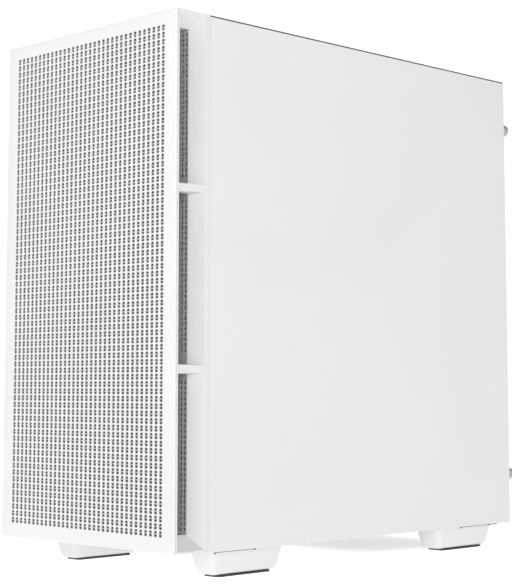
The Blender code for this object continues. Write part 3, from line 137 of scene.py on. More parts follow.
# ---- materials ----
class Finish:
    """One material's nodes, with short calls for what the finishes share."""

    def __init__(self, name, colour, metallic=0.0):
        self.material = bpy.data.materials.new(name)
        self.material.use_nodes = True
        self.tree = self.material.node_tree
        self.shader = self.tree.nodes["Principled BSDF"]
        self.shader.inputs["Metallic"].default_value = metallic
        self.place = self.tree.nodes.new("ShaderNodeTexCoord").outputs["Object"]
        self.colour = Vector(colour)
        self.height = None

    def node(self, kind, **settings):
        made = self.tree.nodes.new(kind)
        for key, value in settings.items():
            setattr(made, key, value)
        return made

    def link(self, source, target):
        self.tree.links.new(source, target)

    def stretched(self, stretch):
        mapping = self.node("ShaderNodeMapping")
        mapping.inputs["Scale"].default_value = stretch
        self.link(self.place, mapping.inputs["Vector"])
        return mapping.outputs["Vector"]

    def noise(self, scale, detail=3.0, stretch=None):
        made = self.node("ShaderNodeTexNoise")
        made.inputs["Scale"].default_value = scale
        made.inputs["Detail"].default_value = detail
        self.link(self.stretched(stretch) if stretch else self.place, made.inputs["Vector"])
        return made.outputs["Fac"]

    def cells(self, scale, stretch=None):
        made = self.node("ShaderNodeTexVoronoi", feature="F1")
        made.inputs["Scale"].default_value = scale
        self.link(self.stretched(stretch) if stretch else self.place, made.inputs["Vector"])
        return made.outputs["Distance"]

    def waves(self, scale, direction, distortion):
        made = self.node("ShaderNodeTexWave", wave_type="BANDS",
                         bands_direction=direction, wave_profile="SIN")
        made.inputs["Scale"].default_value = scale
        made.inputs["Distortion"].default_value = distortion
        self.link(self.place, made.inputs["Vector"])
        return made.outputs["Fac"]

    def spread(self, source, low, high, start=0.3, end=0.7):
        made = self.node("ShaderNodeMapRange")
        made.inputs["From Min"].default_value = start
        made.inputs["From Max"].default_value = end
        made.inputs["To Min"].default_value = low
        made.inputs["To Max"].default_value = high
        self.link(source, made.inputs["Value"])
        return made.outputs["Result"]

    def product(self, first, second):
        made = self.node("ShaderNodeMath", operation="MULTIPLY")
        self.link(first, made.inputs[0])
        self.link(second, made.inputs[1])
        return made.outputs["Value"]

    def tint(self, source, other, start=0.3, end=0.7):
        """Base colour between the finish's own and another, by a pattern."""
        made = self.node("ShaderNodeMix", data_type="RGBA")
        colours = [s for s in made.inputs if s.type == "RGBA"]
        colours[0].default_value = (*self.colour, 1.0)
        colours[1].default_value = (*other, 1.0)
        self.link(self.spread(source, 0.0, 1.0, start, end), made.inputs["Factor"])
        result = next(s for s in made.outputs if s.type == "RGBA")
        self.link(result, self.shader.inputs["Base Color"])

    def rough(self, source, low, high, start=0.3, end=0.7):
        self.link(self.spread(source, low, high, start, end), self.shader.inputs["Roughness"])

    def bump(self, source, distance, strength=1.0):
        made = self.node("ShaderNodeBump")
        made.inputs["Distance"].default_value = distance
        made.inputs["Strength"].default_value = strength
        self.link(source, made.inputs["Height"])
        if self.height is not None:
            self.link(self.height, made.inputs["Normal"])
        self.height = made.outputs["Normal"]
        self.link(self.height, self.shader.inputs["Normal"])


def powder_coat(name, colour, grain=0.00002, roughness=(0.42, 0.52)):
    """Baked powder on steel: fine orange peel over faint broad variation."""
    finish = Finish(name, colour)
    finish.tint(finish.noise(9.0, 2.0), finish.colour * 0.975)
    finish.rough(finish.noise(260.0), *roughness)
    finish.bump(finish.noise(1100.0, 2.0), grain)
    finish.bump(finish.noise(180.0, 1.0), grain * 0.8)
    finish.shader.inputs["Specular IOR Level"].default_value = 0.4
    return finish.material


def moulded(name, colour, roughness=(0.45, 0.6), grain=0.000025, scale=1600.0):
    """Moulded plastic with a spark-eroded grain."""
    finish = Finish(name, colour)
    finish.tint(finish.noise(14.0, 2.0), finish.colour * 0.965)
    finish.rough(finish.noise(420.0), *roughness)
    finish.bump(finish.cells(scale), grain)
    return finish.material


def rubber(name, colour):
    finish = Finish(name, colour)
    finish.tint(finish.noise(220.0), finish.colour * 1.7)
    finish.rough(finish.noise(90.0), 0.75, 0.92)
    finish.bump(finish.noise(1300.0), 0.00005)
    return finish.material


def brushed(name, colour, stretch, roughness=(0.22, 0.38)):
    """Bare metal with fine lines along its rolling direction."""
    finish = Finish(name, colour, metallic=1.0)
    lines = finish.noise(700.0, 3.0, stretch)
    finish.tint(lines, finish.colour * 0.86)
    finish.rough(finish.noise(60.0), *roughness)
    finish.bump(lines, 0.000012)
    return finish.material


def anodised(name, colour):
    finish = Finish(name, colour, metallic=0.9)
    finish.tint(finish.noise(30.0), finish.colour * 0.93)
    finish.rough(finish.noise(300.0), 0.34, 0.46)
    finish.bump(finish.noise(1800.0, 2.0), 0.00002)
    return finish.material


def glass(name):
    """Tempered glass, lightly smoked, with the slightest roller wave."""
    finish = Finish(name, (0.80, 0.83, 0.85))
    finish.shader.inputs["Transmission Weight"].default_value = 1.0
    finish.shader.inputs["IOR"].default_value = 1.45
    finish.tint(finish.noise(5.0, 1.0), finish.colour * 0.96)
    finish.rough(finish.noise(40.0), 0.0, 0.012)
    finish.bump(finish.noise(7.0, 1.0), 0.0001, 0.3)
    return finish.material


def circuit_board(name, colour):
    """Solder mask over copper: traces show as a faint raised, lighter net."""
    finish = Finish(name, colour)
    traces = finish.product(finish.waves(150.0, "Y", 9.0), finish.waves(150.0, "Z", 9.0))
    finish.tint(traces, finish.colour * 2.4, 0.5, 0.62)
    finish.rough(finish.noise(300.0), 0.3, 0.45)
    finish.bump(traces, 0.00004)
    return finish.material


def braid(name, colour):
    """Braided sleeve: two crossing sets of strands."""
    finish = Finish(name, colour)
    strands = finish.cells(1400.0, (1.0, 1.0, 0.5))
    finish.tint(strands, finish.colour * 0.55, 0.25, 0.8)
    finish.rough(strands, 0.6, 0.85)
    finish.bump(strands, 0.0002)
    finish.shader.inputs["Sheen Weight"].default_value = 0.25
    return finish.material


def grey(level):
    return (level, level, level)


BY_SLOT = {
    "white_paint": powder_coat("white_powder_coat", grey(0.84)),
    "white_plastic": moulded("white_moulding", grey(0.82)),
    "fan_plastic": moulded("fan_moulding", grey(0.80), (0.35, 0.5), 0.00001, 900.0),
    "grey_mesh": powder_coat("grey_mesh_coat", grey(0.55)),
    "filter_screen": moulded("filter_screen", grey(0.09), (0.6, 0.8), 0.00004, 1200.0),
    "pad_rubber": rubber("pad_rubber", grey(0.05)),
    "supply_steel": powder_coat("supply_powder_coat", grey(0.06), 0.00006, (0.5, 0.65)),
    "bright_steel": brushed("nickel_plate", (0.62, 0.62, 0.64), (1.0, 0.05, 1.0)),
    "connector_block": brushed("stamped_shield", (0.3, 0.3, 0.31), (1.0, 1.0, 0.05), (0.4, 0.55)),
    "cooler_aluminium": brushed("rolled_fin", (0.72, 0.73, 0.74), (1.0, 0.06, 1.0), (0.25, 0.4)),
    "memory_aluminium": anodised("anodised_spreader", (0.75, 0.75, 0.76)),
    "black_plastic": moulded("black_moulding", grey(0.03)),
    "card_plastic": moulded("card_moulding", (0.1, 0.1, 0.11)),
    "smoked_glass": glass("smoked_glass"),
    "board_lacquer": circuit_board("board_lacquer", (0.03, 0.035, 0.04)),
    "cable_sleeve": braid("cable_sleeve", grey(0.75)),
}


# ---- making pieces ----
def placed(name, data):
    obj = bpy.data.objects.new(name, data)
    bpy.context.scene.collection.objects.link(obj)
    return obj


def piece(name, bm, body, slot, *replaced, others=(), angle=35):
    """A mesh in world coordinates becomes a piece that rides on a body.

    Its first material is its slot's, and others names the slots of the rest.
    """
    mesh = bpy.data.meshes.new(name)
    bm.to_mesh(mesh)
    bm.free()
    for each in (slot, *others):
        mesh.materials.append(BY_SLOT[each])
    mesh.shade_smooth()
    mesh.set_sharp_from_angle(angle=math.radians(angle))
    obj = placed(name, mesh)
    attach(obj, body)
    if replaced:
        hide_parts(*replaced)
    return obj


def outward(bm):
    """The mesh with its faces turned to face out."""
    bmesh.ops.recalc_face_normals(bm, faces=bm.faces)
    return bm


def body_of(node):
    return NODES[node]["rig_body"]


def welded(node):
    """A CAD node's shape with its faces joined up, as a new bmesh."""
    bm = bmesh.new()
    bm.from_mesh(NODES[node].data)
    bmesh.ops.remove_doubles(bm, verts=bm.verts, dist=0.00002)
    bmesh.ops.dissolve_limit(bm, angle_limit=math.radians(0.5), verts=bm.verts, edges=bm.edges)
    for layer in list(bm.loops.layers.uv.values()):
        bm.loops.layers.uv.remove(layer)
    return bm


def softened(node, width, ending="_finished"):
    """The CAD node again with its hard edges rounded."""
    obj = piece(node + ending, welded(node), body_of(node), SLOTS[node], node)
    bevel = obj.modifiers.new("edges", "BEVEL")
    bevel.width = width
    bevel.segments = 2
    bevel.limit_method = "ANGLE"
    bevel.angle_limit = math.radians(40)
    bevel.use_clamp_overlap = True


def block(bm, low, high, rim=0.0004, segments=2, material=0):
    """A box with rounded edges, added to a bmesh."""
    low, high = Vector(low), Vector(high)
    size = high - low
    verts = bmesh.ops.create_cube(bm, size=1.0)["verts"]
    for vert in verts:
        vert.co = Vector(c * s for c, s in zip(vert.co, size)) + (low + high) / 2
    edges = list({edge for vert in verts for edge in vert.link_edges})
    faces = {face for vert in verts for face in vert.link_faces}
    rim = min(rim, min(size) * 0.4)
    made = bmesh.ops.bevel(bm, geom=edges, offset=rim, segments=segments, profile=0.5,
                           affect="EDGES")
    for face in faces | set(made["faces"]):
        if face.is_valid:
            face.material_index = material


def lofted(bm, rings, material=0):
    """A closed skin over rings of equal count."""
    faces = [bm.faces.new(rings[0][::-1]), bm.faces.new(rings[-1])]
    for first, second in zip(rings, rings[1:]):
        for k in range(len(first)):
            n = (k + 1) % len(first)
            faces.append(bm.faces.new((first[k], first[n], second[n], second[k])))
    for face in faces:
        face.material_index = material


def turned(bm, centre, axis, profile, steps=32, material=0, wobble=None):
    """A shape turned about an axis from (radius, along) points; both ends close."""
    axis = Vector(axis).normalized()
    side = axis.orthogonal().normalized()
    other = axis.cross(side)
    centre = Vector(centre)
    rings = []
    for radius, along in profile:
        ring = []
        for k in range(steps):
            angle = math.tau * k / steps
            reach = radius * (wobble(angle, along) if wobble else 1.0)
            spoke = side * math.cos(angle) + other * math.sin(angle)
            ring.append(bm.verts.new(centre + axis * along + spoke * reach))
        rings.append(ring)
    lofted(bm, rings, material)


def pipe(bm, points, radius, sides=10):
    """A round bar along a line of points, with closed ends."""
    points = [Vector(p) for p in points]
    ahead = (points[1] - points[0]).normalized()
    side = ahead.orthogonal().normalized()
    rings = []
    for k, point in enumerate(points):
        before = points[max(k - 1, 0)]
        after = points[min(k + 1, len(points) - 1)]
        ahead = (after - before).normalized()
        side = (side - ahead * side.dot(ahead)).normalized()
        other = ahead.cross(side)
        ring = []
        for s in range(sides):
            angle = math.tau * s / sides
            spoke = side * math.cos(angle) + other * math.sin(angle)
            ring.append(bm.verts.new(point + spoke * radius))
        rings.append(ring)
    lofted(bm, rings)


def smooth_line(points, steps=6):
    """Points on a smooth curve through the given ones."""
    points = [Vector(p) for p in points]
    ends = [points[0] * 2 - points[1]] + points + [points[-1] * 2 - points[-2]]
    line = []
    for a, b, c, d in zip(ends, ends[1:], ends[2:], ends[3:]):
        for k in range(steps):
            t = k / steps
            line.append((b * 2 + (c - a) * t + (a * 2 - b * 5 + c * 4 - d) * t * t
                         + (b * 3 - a - c * 3 + d) * t * t * t) / 2)
    line.append(points[-1])
    return line


def corner_arcs(size, radius, steps):
    """A rounded rectangle's four corner arcs about its middle, each from low to high angle."""
    arcs = []
    for across, up, start in ((-1, -1, 180), (1, -1, 270), (1, 1, 0), (-1, 1, 90)):
        arc = []
        for k in range(steps + 1):
            angle = math.radians(start + (90 * k / steps if steps else 45))
            arc.append((across * (size[0] / 2 - radius) + radius * math.cos(angle),
                        up * (size[1] / 2 - radius) + radius * math.sin(angle)))
        arcs.append(arc)
    return arcs


def perforated(place, across, along, arcs, is_shut=None):
    """A closed sheet over a grid of cells, with a hole in each but those of the rim.

    place(u, v, back) gives a point. across and along are Lines. is_shut(v) keeps a row closed.
    """
    verts, faces = [], []
    us, vs = across.steps, along.steps

    def is_open(i, j):
        if is_shut and is_shut((vs[j] + vs[j + 1]) / 2):
            return False
        return 0 <= i - across.first < across.count and 0 <= j - along.first < along.count

    def vert(point):
        verts.append(point)
        return len(verts) - 1

    grid = [[[vert(place(u, v, back)) for v in vs] for u in us] for back in (0, 1)]
    for i in range(len(us) - 1):
        for j in range(len(vs) - 1):
            corners = [(i, j), (i + 1, j), (i + 1, j + 1), (i, j + 1)]
            squares = [[grid[back][a][b] for a, b in corners] for back in (0, 1)]
            if not is_open(i, j):
                faces.append(squares[0])
                faces.append(squares[1][::-1])
                continue
            middle = ((us[i] + us[i + 1]) / 2, (vs[j] + vs[j + 1]) / 2)
            rings = []
            for back in (0, 1):
                ring = [[vert(place(middle[0] + a, middle[1] + b, back)) for a, b in arc]
                        for arc in arcs]
                rings.append(ring)
                for c in range(4):
                    n = (c + 1) % 4
                    side = [squares[back][c], squares[back][n], ring[n][0], ring[c][-1]]
                    faces.append(side if back == 0 else side[::-1])
                    if len(ring[c]) > 1:
                        fan = [squares[back][c], *ring[c][::-1]]
                        faces.append(fan if back == 0 else fan[::-1])
            front = [p for arc in rings[0] for p in arc]
            rear = [p for arc in rings[1] for p in arc]
            for k in range(len(front)):
                n = (k + 1) % len(front)
                faces.append([front[k], front[n], rear[n], rear[k]])
    front, rear = grid
    for end in (0, -1):
        for i in range(len(us) - 1):
            faces.append([front[i][end], rear[i][end], rear[i + 1][end], front[i + 1][end]])
        for j in range(len(vs) - 1):
            faces.append([front[end][j], front[end][j + 1], rear[end][j + 1], rear[end][j]])
    mesh = bpy.data.meshes.new("sheet")
    mesh.from_pydata(verts, [], faces)
    bm = bmesh.new()
    bm.from_mesh(mesh)
    bpy.data.meshes.remove(mesh)
    return outward(bm)


def rim_drop(distance, radius):
    """How far a rounded rim lies below the sheet's face at a distance from the edge."""
    inward = max(0.0, radius - distance)
    return radius - math.sqrt(radius * radius - inward * inward)


class Lines:
    """Cell boundaries from low to high: rim points, then count cells of one pitch."""

    def __init__(self, low, high, first, pitch, count, radius):
        turns = (0, 30, 60, 90) if radius else (0,)
        rim = [radius * (1 - math.cos(math.radians(turn))) for turn in turns]
        start = [low + step for step in rim]
        cells = [first + pitch * k for k in range(count + 1)]
        end = [high - step for step in reversed(rim)]
        self.steps = start + cells + end
        self.first = len(start)
        self.count = count


# ---- the front panel ----
def front_plate():
    low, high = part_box("front_mesh_plate")
    wide = PLATE_PITCH * PLATE_COLUMNS
    tall = PLATE_PITCH * PLATE_ROWS
    bottom = high.z - PLATE_TOP_ROW + PLATE_PITCH / 2 - tall
    across = Lines(low.x, high.x, -wide / 2, PLATE_PITCH, PLATE_COLUMNS, PLATE_RIM)
    upward = Lines(low.z, high.z, bottom, PLATE_PITCH, PLATE_ROWS, PLATE_RIM)

    def place(u, v, back):
        if back:
            in_field = abs(u) <= wide / 2 + GAP and -GAP <= v - bottom <= tall + GAP
            return (u, low.y + PLATE_SHEET if in_field else high.y, v)
        edge = min(u - low.x, high.x - u, v - low.z, high.z - v)
        return (u, low.y + rim_drop(edge, PLATE_RIM), v)

    bm = perforated(place, across, upward, corner_arcs(PLATE_HOLE, PLATE_CORNER, 2))
    piece("front_plate_perforated", bm, "front_panel", "white_paint", "front_mesh_plate")

    bars = bmesh.new()
    for row in range(PLATE_ROWS):
        z = bottom + PLATE_PITCH * (row + 0.5)
        block(bars, (-wide / 2, low.y + BAR_BACK, z - BAR_HEIGHT / 2),
              (wide / 2, low.y + BAR_BACK + BAR_DEPTH, z + BAR_HEIGHT / 2), BAR_ROUND)
    piece("front_plate_bars", bars, "front_panel", "grey_mesh")

    cloth = bmesh.new()
    block(cloth, (-wide / 2 - EDGE, low.y + CLOTH_BACK, bottom - EDGE),
          (wide / 2 + EDGE, low.y + CLOTH_BACK + CLOTH_THICK, bottom + tall + EDGE), 0.0)
    piece("front_plate_dust_cloth", cloth, "front_panel", "filter_screen")


def inner_mesh():
    low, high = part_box("front_inner_mesh")
    wide, tall = SCREEN_PITCH
    rows = int((high.z - low.z - SCREEN_MARGIN) / tall)
    bottom = (low.z + high.z - rows * tall) / 2
    across = Lines(low.x, high.x, -SCREEN_COLUMNS * wide / 2, wide, SCREEN_COLUMNS, 0.0)
    upward = Lines(low.z, high.z, bottom, tall, rows, 0.0)

    def place(u, v, back):
        return (u, low.y + (SCREEN_SHEET if back else 0.0), v)

    def is_banded(v):
        return any(start < v < end for start, end in SCREEN_BANDS)

    arcs = corner_arcs(SCREEN_HOLE, SCREEN_CORNER, 1)
    bm = perforated(place, across, upward, arcs, is_banded)
    piece("front_inner_mesh_perforated", bm, "front_panel", "grey_mesh", "front_inner_mesh")


# ---- top, underside and feet ----
def top_filter():
    """A thin magnetic frame whose middle is a fine square mesh."""
    low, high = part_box("top_filter")
    columns = int((high.x - low.x - 2 * FILTER_BORDER) / WEAVE_PITCH)
    rows = int((high.y - low.y - 2 * FILTER_BORDER) / WEAVE_PITCH)
    half, long = columns * WEAVE_PITCH / 2, rows * WEAVE_PITCH / 2
    middle = (low.y + high.y) / 2
    across = Lines(low.x, high.x, -half, WEAVE_PITCH, columns, FILTER_RIM)
    along = Lines(low.y, high.y, middle - long, WEAVE_PITCH, rows, FILTER_RIM)

    def place(u, v, back):
        edge = min(u - low.x, high.x - u, v - low.y, high.y - v)
        sunk = FILTER_SINK if abs(u) < half and abs(v - middle) < long else 0.0
        top = high.z - rim_drop(edge, FILTER_RIM) - sunk
        return (u, v, high.z - FILTER_THICK if back else top)

    bm = perforated(place, across, along, corner_arcs(WEAVE_HOLE, 0.0, 0))
    piece("top_filter_mesh", bm, "top_filter", "filter_screen", "top_filter")


def bottom_filter():
    """The tray: a mesh floor, raised rails round it and a ribbed handle."""
    low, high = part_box("psu_filter")
    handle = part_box("foot_rear_right")[1].y + GAP
    half = -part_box("foot_rear_left")[1].x - TRAY_SIDE
    end = handle - GAP
    columns = int((2 * half - 2 * TRAY_RAIL) / WEAVE_PITCH)
    rows = int((end - low.y - 2 * TRAY_RAIL) / WEAVE_PITCH)
    middle = (low.y + end) / 2
    across = Lines(-half, half, -columns * WEAVE_PITCH / 2, WEAVE_PITCH, columns, GAP)
    along = Lines(low.y, end, middle - rows * WEAVE_PITCH / 2, WEAVE_PITCH, rows, GAP)

    def place(u, v, back):
        return (u, v, low.z + (TRAY_WEB if back else GAP))

    bm = perforated(place, across, along, corner_arcs(WEAVE_HOLE, 0.0, 0))
    rail = TRAY_RAIL * 0.8
    for x in (-half, half - rail):
        block(bm, (x, low.y, low.z + GAP), (x + rail, end, high.z), 0.0006)
    for y in (low.y, end - rail):
        block(bm, (-half, y, low.z + GAP), (half, y + rail, high.z), 0.0006)
    block(bm, (-high.x, handle, low.z), (high.x, high.y, low.z + TRAY_HANDLE), 0.0008, 3)
    for k in range(GRIP_RIBS):
        x = (k - (GRIP_RIBS - 1) / 2) * GRIP_PITCH
        block(bm, (x - GRIP_RIB, handle + GRIP_END, low.z + TRAY_HANDLE - 0.0004),
              (x + GRIP_RIB, high.y - GRIP_END, low.z + TRAY_HANDLE + 0.0003), 0.0003)
    piece("psu_filter_tray", bm, "psu_filter", "filter_screen", "psu_filter")


def foot(node):
    """A tapered block with round corners and a round lower edge; the notch by the panel is a dark strip
    of painted shadow.
    """
    low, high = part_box(node)
    side = 1 if low.x > 0 else -1
    outer_top, outer_low = FOOT_OUTER
    inner_top, inner_low = FOOT_INNER
    top = PANEL_LOW - GAP
    bm = bmesh.new()
    rings = []
    for k in range(FOOT_LEVELS + 1):
        turn = math.radians(90 * min(1.0, k / FOOT_TURN))
        rise = FOOT_ROUND * (1 - math.cos(turn))
        if k > FOOT_TURN:
            rise += (top - low.z - FOOT_ROUND) * (k - FOOT_TURN) / (FOOT_LEVELS - FOOT_TURN)
        level = low.z + rise
        tuck = FOOT_ROUND * (1 - math.sin(turn))
        share = (level - low.z) / (top - low.z)
        x0 = inner_low + (inner_top - inner_low) * share + tuck
        x1 = outer_low + (outer_top - outer_low) * share - tuck
        y0 = low.y + FOOT_LEAN * (1 - share) + tuck
        y1 = high.y - FOOT_LEAN * (1 - share) - tuck
        radius = max(FOOT_CORNER - tuck * 0.5, 0.001)
        ring = []
        for arc in corner_arcs((x1 - x0, y1 - y0), radius, 5):
            for a, b in arc:
                ring.append(bm.verts.new((side * ((x0 + x1) / 2 + a), (y0 + y1) / 2 + b, level)))
        rings.append(ring)
    lofted(bm, rings)
    xs = sorted((side * (inner_top + FOOT_BOSS), side * PANEL_INSIDE))
    block(bm, (xs[0], low.y + FOOT_BOSS, top - FOOT_BOSS), (xs[1], high.y - FOOT_BOSS, high.z), 0.0003)
    piece(node + "_moulded", outward(bm), "chassis", "white_plastic", node, angle=50)

    # Painted shadow: a dark rubber strip along the outer top edge stands for the shade in the gap under
    # the panel.
    notch = bmesh.new()
    near = low.y + NOTCH_END if "front" in node else high.y - NOTCH_END - NOTCH_LONG
    xs = sorted((side * (outer_top - NOTCH_IN), side * (outer_top + GAP)))
    block(notch, (xs[0], near, top - NOTCH_DOWN), (xs[1], near + NOTCH_LONG, top - GAP), 0.0002)
    for end in (near, near + NOTCH_LONG):
        turned(notch, (side * outer_top, end, top - NOTCH_DOWN), (side, 0, 0),
               [(0.0, -0.001), (0.0008, -0.001), (0.0008, GAP), (0.0005, 2 * GAP)], 10)
    piece(node + "_hook_seal", notch, "chassis", "pad_rubber")


def foot_pad(node):
    """The CAD model's pad, as rubber."""
    piece(node + "_rubber", welded(node), "chassis", "pad_rubber", node)


def thumbscrew(node):
    """A knurled head with a cross slot of painted shade, on a plain collar and a threaded shank."""
    low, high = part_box(node)
    centre = Vector(((low.x + high.x) / 2, 0.0, (low.z + high.z) / 2))
    flange = REAR_FLANGE + GAP
    knurl_depth, knurl_count = 0.035, 26
    grip = (high.x - low.x) / 2 / (1.001 + knurl_depth)

    def knurl(angle, along):
        if flange + 0.0026 < along < high.y - 0.0008:
            return 1.0 + knurl_depth * math.cos(angle * knurl_count)
        return 1.0

    bm = bmesh.new()
    turned(bm, centre, (0, 1, 0), [
        (TIP, low.y), (0.0014, low.y), (0.0016, low.y + 0.0004), (0.0016, flange - 0.0001),
        (grip * 0.98, flange), (grip, flange + 0.0004), (grip, flange + 0.0017),
        (grip * 0.86, flange + 0.002), (grip * 0.86, flange + 0.0025), (grip * 0.97, flange + 0.0027),
        (grip, flange + 0.0032), (grip, high.y - 0.0014), (grip * 0.96, high.y - 0.0006),
        (grip * 0.88, high.y - 0.0001), (grip * 0.5, high.y - 0.0001), (grip * 0.46, high.y - 0.0008),
        (TIP, high.y - 0.0008)], 4 * knurl_count, 0, knurl)
    for k in range(THREADS):
        ring = low.y + 0.0006 + k * THREAD_PITCH
        turned(bm, centre, (0, 1, 0), [
            (0.0015, ring - 0.0001), (0.0018, ring),
            (0.0018, ring + 0.0001), (0.0015, ring + 0.0002)], 16)
    # The cross slot is a black block in the head's dish: painted shade where a recess would be.
    for across, up in ((grip * SCREW_CROSS, 0.0005), (0.0005, grip * SCREW_CROSS)):
        block(bm, (centre.x - across, high.y - 0.0010, centre.z - up),
              (centre.x + across, high.y - 0.0004, centre.z + up), 0.0001, 1, 1)
    piece(node + "_knurled", outward(bm), body_of(node), "bright_steel", node,
          others=("black_plastic",))


# ---- fans ----
def blade(bm, centre, axis, start, inner, outer, chord, twist, sweep, thick):
    """One curved fan blade: wide and steep at the hub, swept back at its tip."""
    axis = Vector(axis)
    side = axis.orthogonal().normalized()
    other = axis.cross(side)
    sheets = []
    rows, columns = 8, 8
    for face in (-1, 1):
        sheet = []
        for r in range(rows + 1):
            out = r / rows
            radius = inner + (outer - inner) * out
            line = []
            for c in range(columns + 1):
                run = c / columns - 0.5
                angle = start + sweep * out * out + run * chord[0] * (1 - out) + run * chord[1] * out
                rise = -run * (twist[0] * (1 - out) + twist[1] * out)
                rise += 0.0016 * (1 - 4 * run * run)
                body = thick * (1 - 3.2 * run * run) * (1 - 0.35 * out) / 2
                spoke = side * math.cos(angle) + other * math.sin(angle)
                line.append(bm.verts.new(Vector(centre) + spoke * radius + axis * (rise + face * body)))
            sheet.append(line)
        sheets.append(sheet)
    first, second = sheets
    for r in range(rows):
        for c in range(columns):
            for sheet, step in ((first, 1), (second, -1)):
                quad = [sheet[r][c], sheet[r][c + 1], sheet[r + 1][c + 1], sheet[r + 1][c]]
                bm.faces.new(quad[::step])
    for r in range(rows):
        for c in (0, columns):
            bm.faces.new((first[r][c], first[r + 1][c], second[r + 1][c], second[r][c]))
    for c in range(columns):
        for r in (0, rows):
            bm.faces.new((first[r][c], first[r][c + 1], second[r][c + 1], second[r][c]))


def rotor(node, axis, blades, hub):
    """A fan rotor: a domed hub with a stepped rim and curved blades."""
    low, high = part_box(node)
    joint = next(j for j in frame["joints"] if j["child"] == body_of(node))
    anchor = Vector(joint["pos_m"])
    axis = Vector(axis)
    depth = (high - low).dot(axis)
    middle = (low + high).dot(axis) / 2
    centre = anchor - axis * anchor.dot(axis) + axis * middle
    reach = max(high.x - centre.x, centre.x - low.x) - GAP
    half = depth / 2
    bm = bmesh.new()
    turned(bm, centre, axis, [
        (TIP, -half), (hub * 0.55, -half), (hub * 0.82, -half + 0.0005), (hub * 0.95, -half + 0.0016),
        (hub, -half + 0.0034), (hub, half - 0.0012), (hub * 0.97, half - 0.0004), (hub * 0.9, half),
        (hub * 0.86, half - 0.0006), (TIP, half - 0.0006)], 64)
    for k in range(blades):
        start = math.tau * k / blades
        blade(bm, centre, axis, start, hub * 0.97, reach, (0.72 * 9 / blades, 0.50 * 9 / blades),
              (depth * 0.78, depth * 0.62), -0.42, 0.0017)
    piece(node + "_bladed", outward(bm), body_of(node), SLOTS[node], node, angle=40)


# ---- cooler ----
def cooler():
    """A stack of thin fins on nickelled heat pipes that rise from a milled base."""
    low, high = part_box("cpu_cooler")
    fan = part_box("cpu_fan_frame")
    count = int((fan[1].x - 0.004 - low.x) / FIN_PITCH)
    fins = bmesh.new()
    for k in range(count + 1):
        x = low.x + FIN_INSET + k * FIN_PITCH
        thick = FIN_THICK if 0 < k < count else FIN_THICK * 2
        notch = 0.004 if k % 2 else 0.0025
        block(fins, (x, low.y, low.z + FIN_INSET), (x + thick, high.y - notch, high.z - FIN_INSET),
              0.0001, 1)
        for z in (low.z + 0.03, high.z - 0.036):
            block(fins, (x, high.y - notch - 0.0004, z), (x + thick, high.y, z + 0.006), 0.0001, 1)
    piece("cooler_fins", fins, "chassis", "cooler_aluminium", "cpu_cooler")

    metal = bmesh.new()
    base = high.x - BASE_THICK
    middle_y, middle_z = (low.y + high.y) / 2, (low.z + high.z) / 2
    block(metal, (base, middle_y - BASE_HALF, middle_z - BASE_HALF),
          (high.x, middle_y + BASE_HALF, middle_z + BASE_HALF), 0.001)
    for row in range(PIPES):
        y = middle_y + (row - (PIPES - 1) / 2) * PIPE_PITCH
        for side in (-1, 1):
            z = middle_z + side * (0.036 + 0.008 * (row % 2))
            path = smooth_line([
                (base + 0.005, y, middle_z + side * 0.006), (base + 0.0045, y, middle_z + side * 0.018),
                (base - 0.001, y, z - side * 0.004), (base - 0.012, y, z), (base - 0.03, y, z),
                (0.0, y, z), (low.x + 0.0012, y, z)], 5)
            pipe(metal, path, PIPE_RADIUS, 12)
    for z in (middle_z - 0.03, middle_z + 0.03):
        block(metal, (base + 0.006, middle_y - 0.012, z - 0.004),
              (base + 0.0085, middle_y + 0.012, z + 0.004))
    piece("cooler_base_and_pipes", outward(metal), "chassis", "bright_steel")

    posts = bmesh.new()
    for z in (fan[0].z + POST_INSET, fan[1].z - POST_INSET):
        for x in (fan[0].x + POST_INSET, fan[1].x - POST_INSET):
            pipe(posts, [(x, fan[0].y + 0.001, z), (x, fan[1].y - 0.001, z)], POST_RADIUS)
    piece("cooler_fan_posts", posts, "chassis", "black_plastic")


# ---- graphics card ----
def graphics_card():
    """Shroud with metal trims, a finned heatsink at its side, and a backplate."""
    low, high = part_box("graphics_card")
    softened("graphics_card", 0.0008, "_shroud")
    side, top = low.x, high.z
    span = high.y - low.y

    trim = bmesh.new()
    share = (span - 2 * TRIM_END) / TRIMS
    length = share - TRIM_SPACE
    for k in range(TRIMS):
        y = low.y + TRIM_END + k * share
        block(trim, (side - 0.0011, y, low.z + 0.008), (side + 0.001, y + length, low.z + 0.0105))
        block(trim, (side - 0.0009, y + 0.006, low.z + 0.014),
              (side + 0.001, y + length - 0.006, low.z + 0.0155))
    piece("graphics_card_trim", trim, "chassis", "memory_aluminium")

    fins = bmesh.new()
    for k in range(int((span - 0.03) / CARD_FIN_PITCH)):
        y = low.y + 0.015 + k * CARD_FIN_PITCH
        block(fins, (side - 0.0010, y, low.z + 0.0195),
              (side + 0.0015, y + CARD_FIN_THICK, top - 0.008), 0.0001, 1)
    piece("graphics_card_fins", fins, "chassis", "cooler_aluminium")

    plate = bmesh.new()
    block(plate, (side + 0.001, low.y + 0.001, top - 0.0002),
          (high.x - 0.004, high.y - 0.004, top + 0.0010), 0.0005)
    for k in range(CARD_SLITS):
        y = low.y + 0.02 + k * CARD_SLIT_PITCH
        block(plate, (side + 0.02, y, top + 0.0008), (high.x - 0.03, y + 0.004, top + 0.0014), 0.0003)
    for x in (side + 0.008, high.x - 0.012):
        for y in (low.y + 0.01, (low.y + high.y) / 2, high.y - 0.014):
            turned(plate, (x, y, top + 0.0008), (0, 0, 1), [
                (TIP, 0), (0.0028, 0), (0.0028, 0.0006), (0.0022, 0.001), (TIP, 0.001)], 20, 1)
    piece("graphics_card_backplate", plate, "chassis", "card_plastic", others=("bright_steel",))


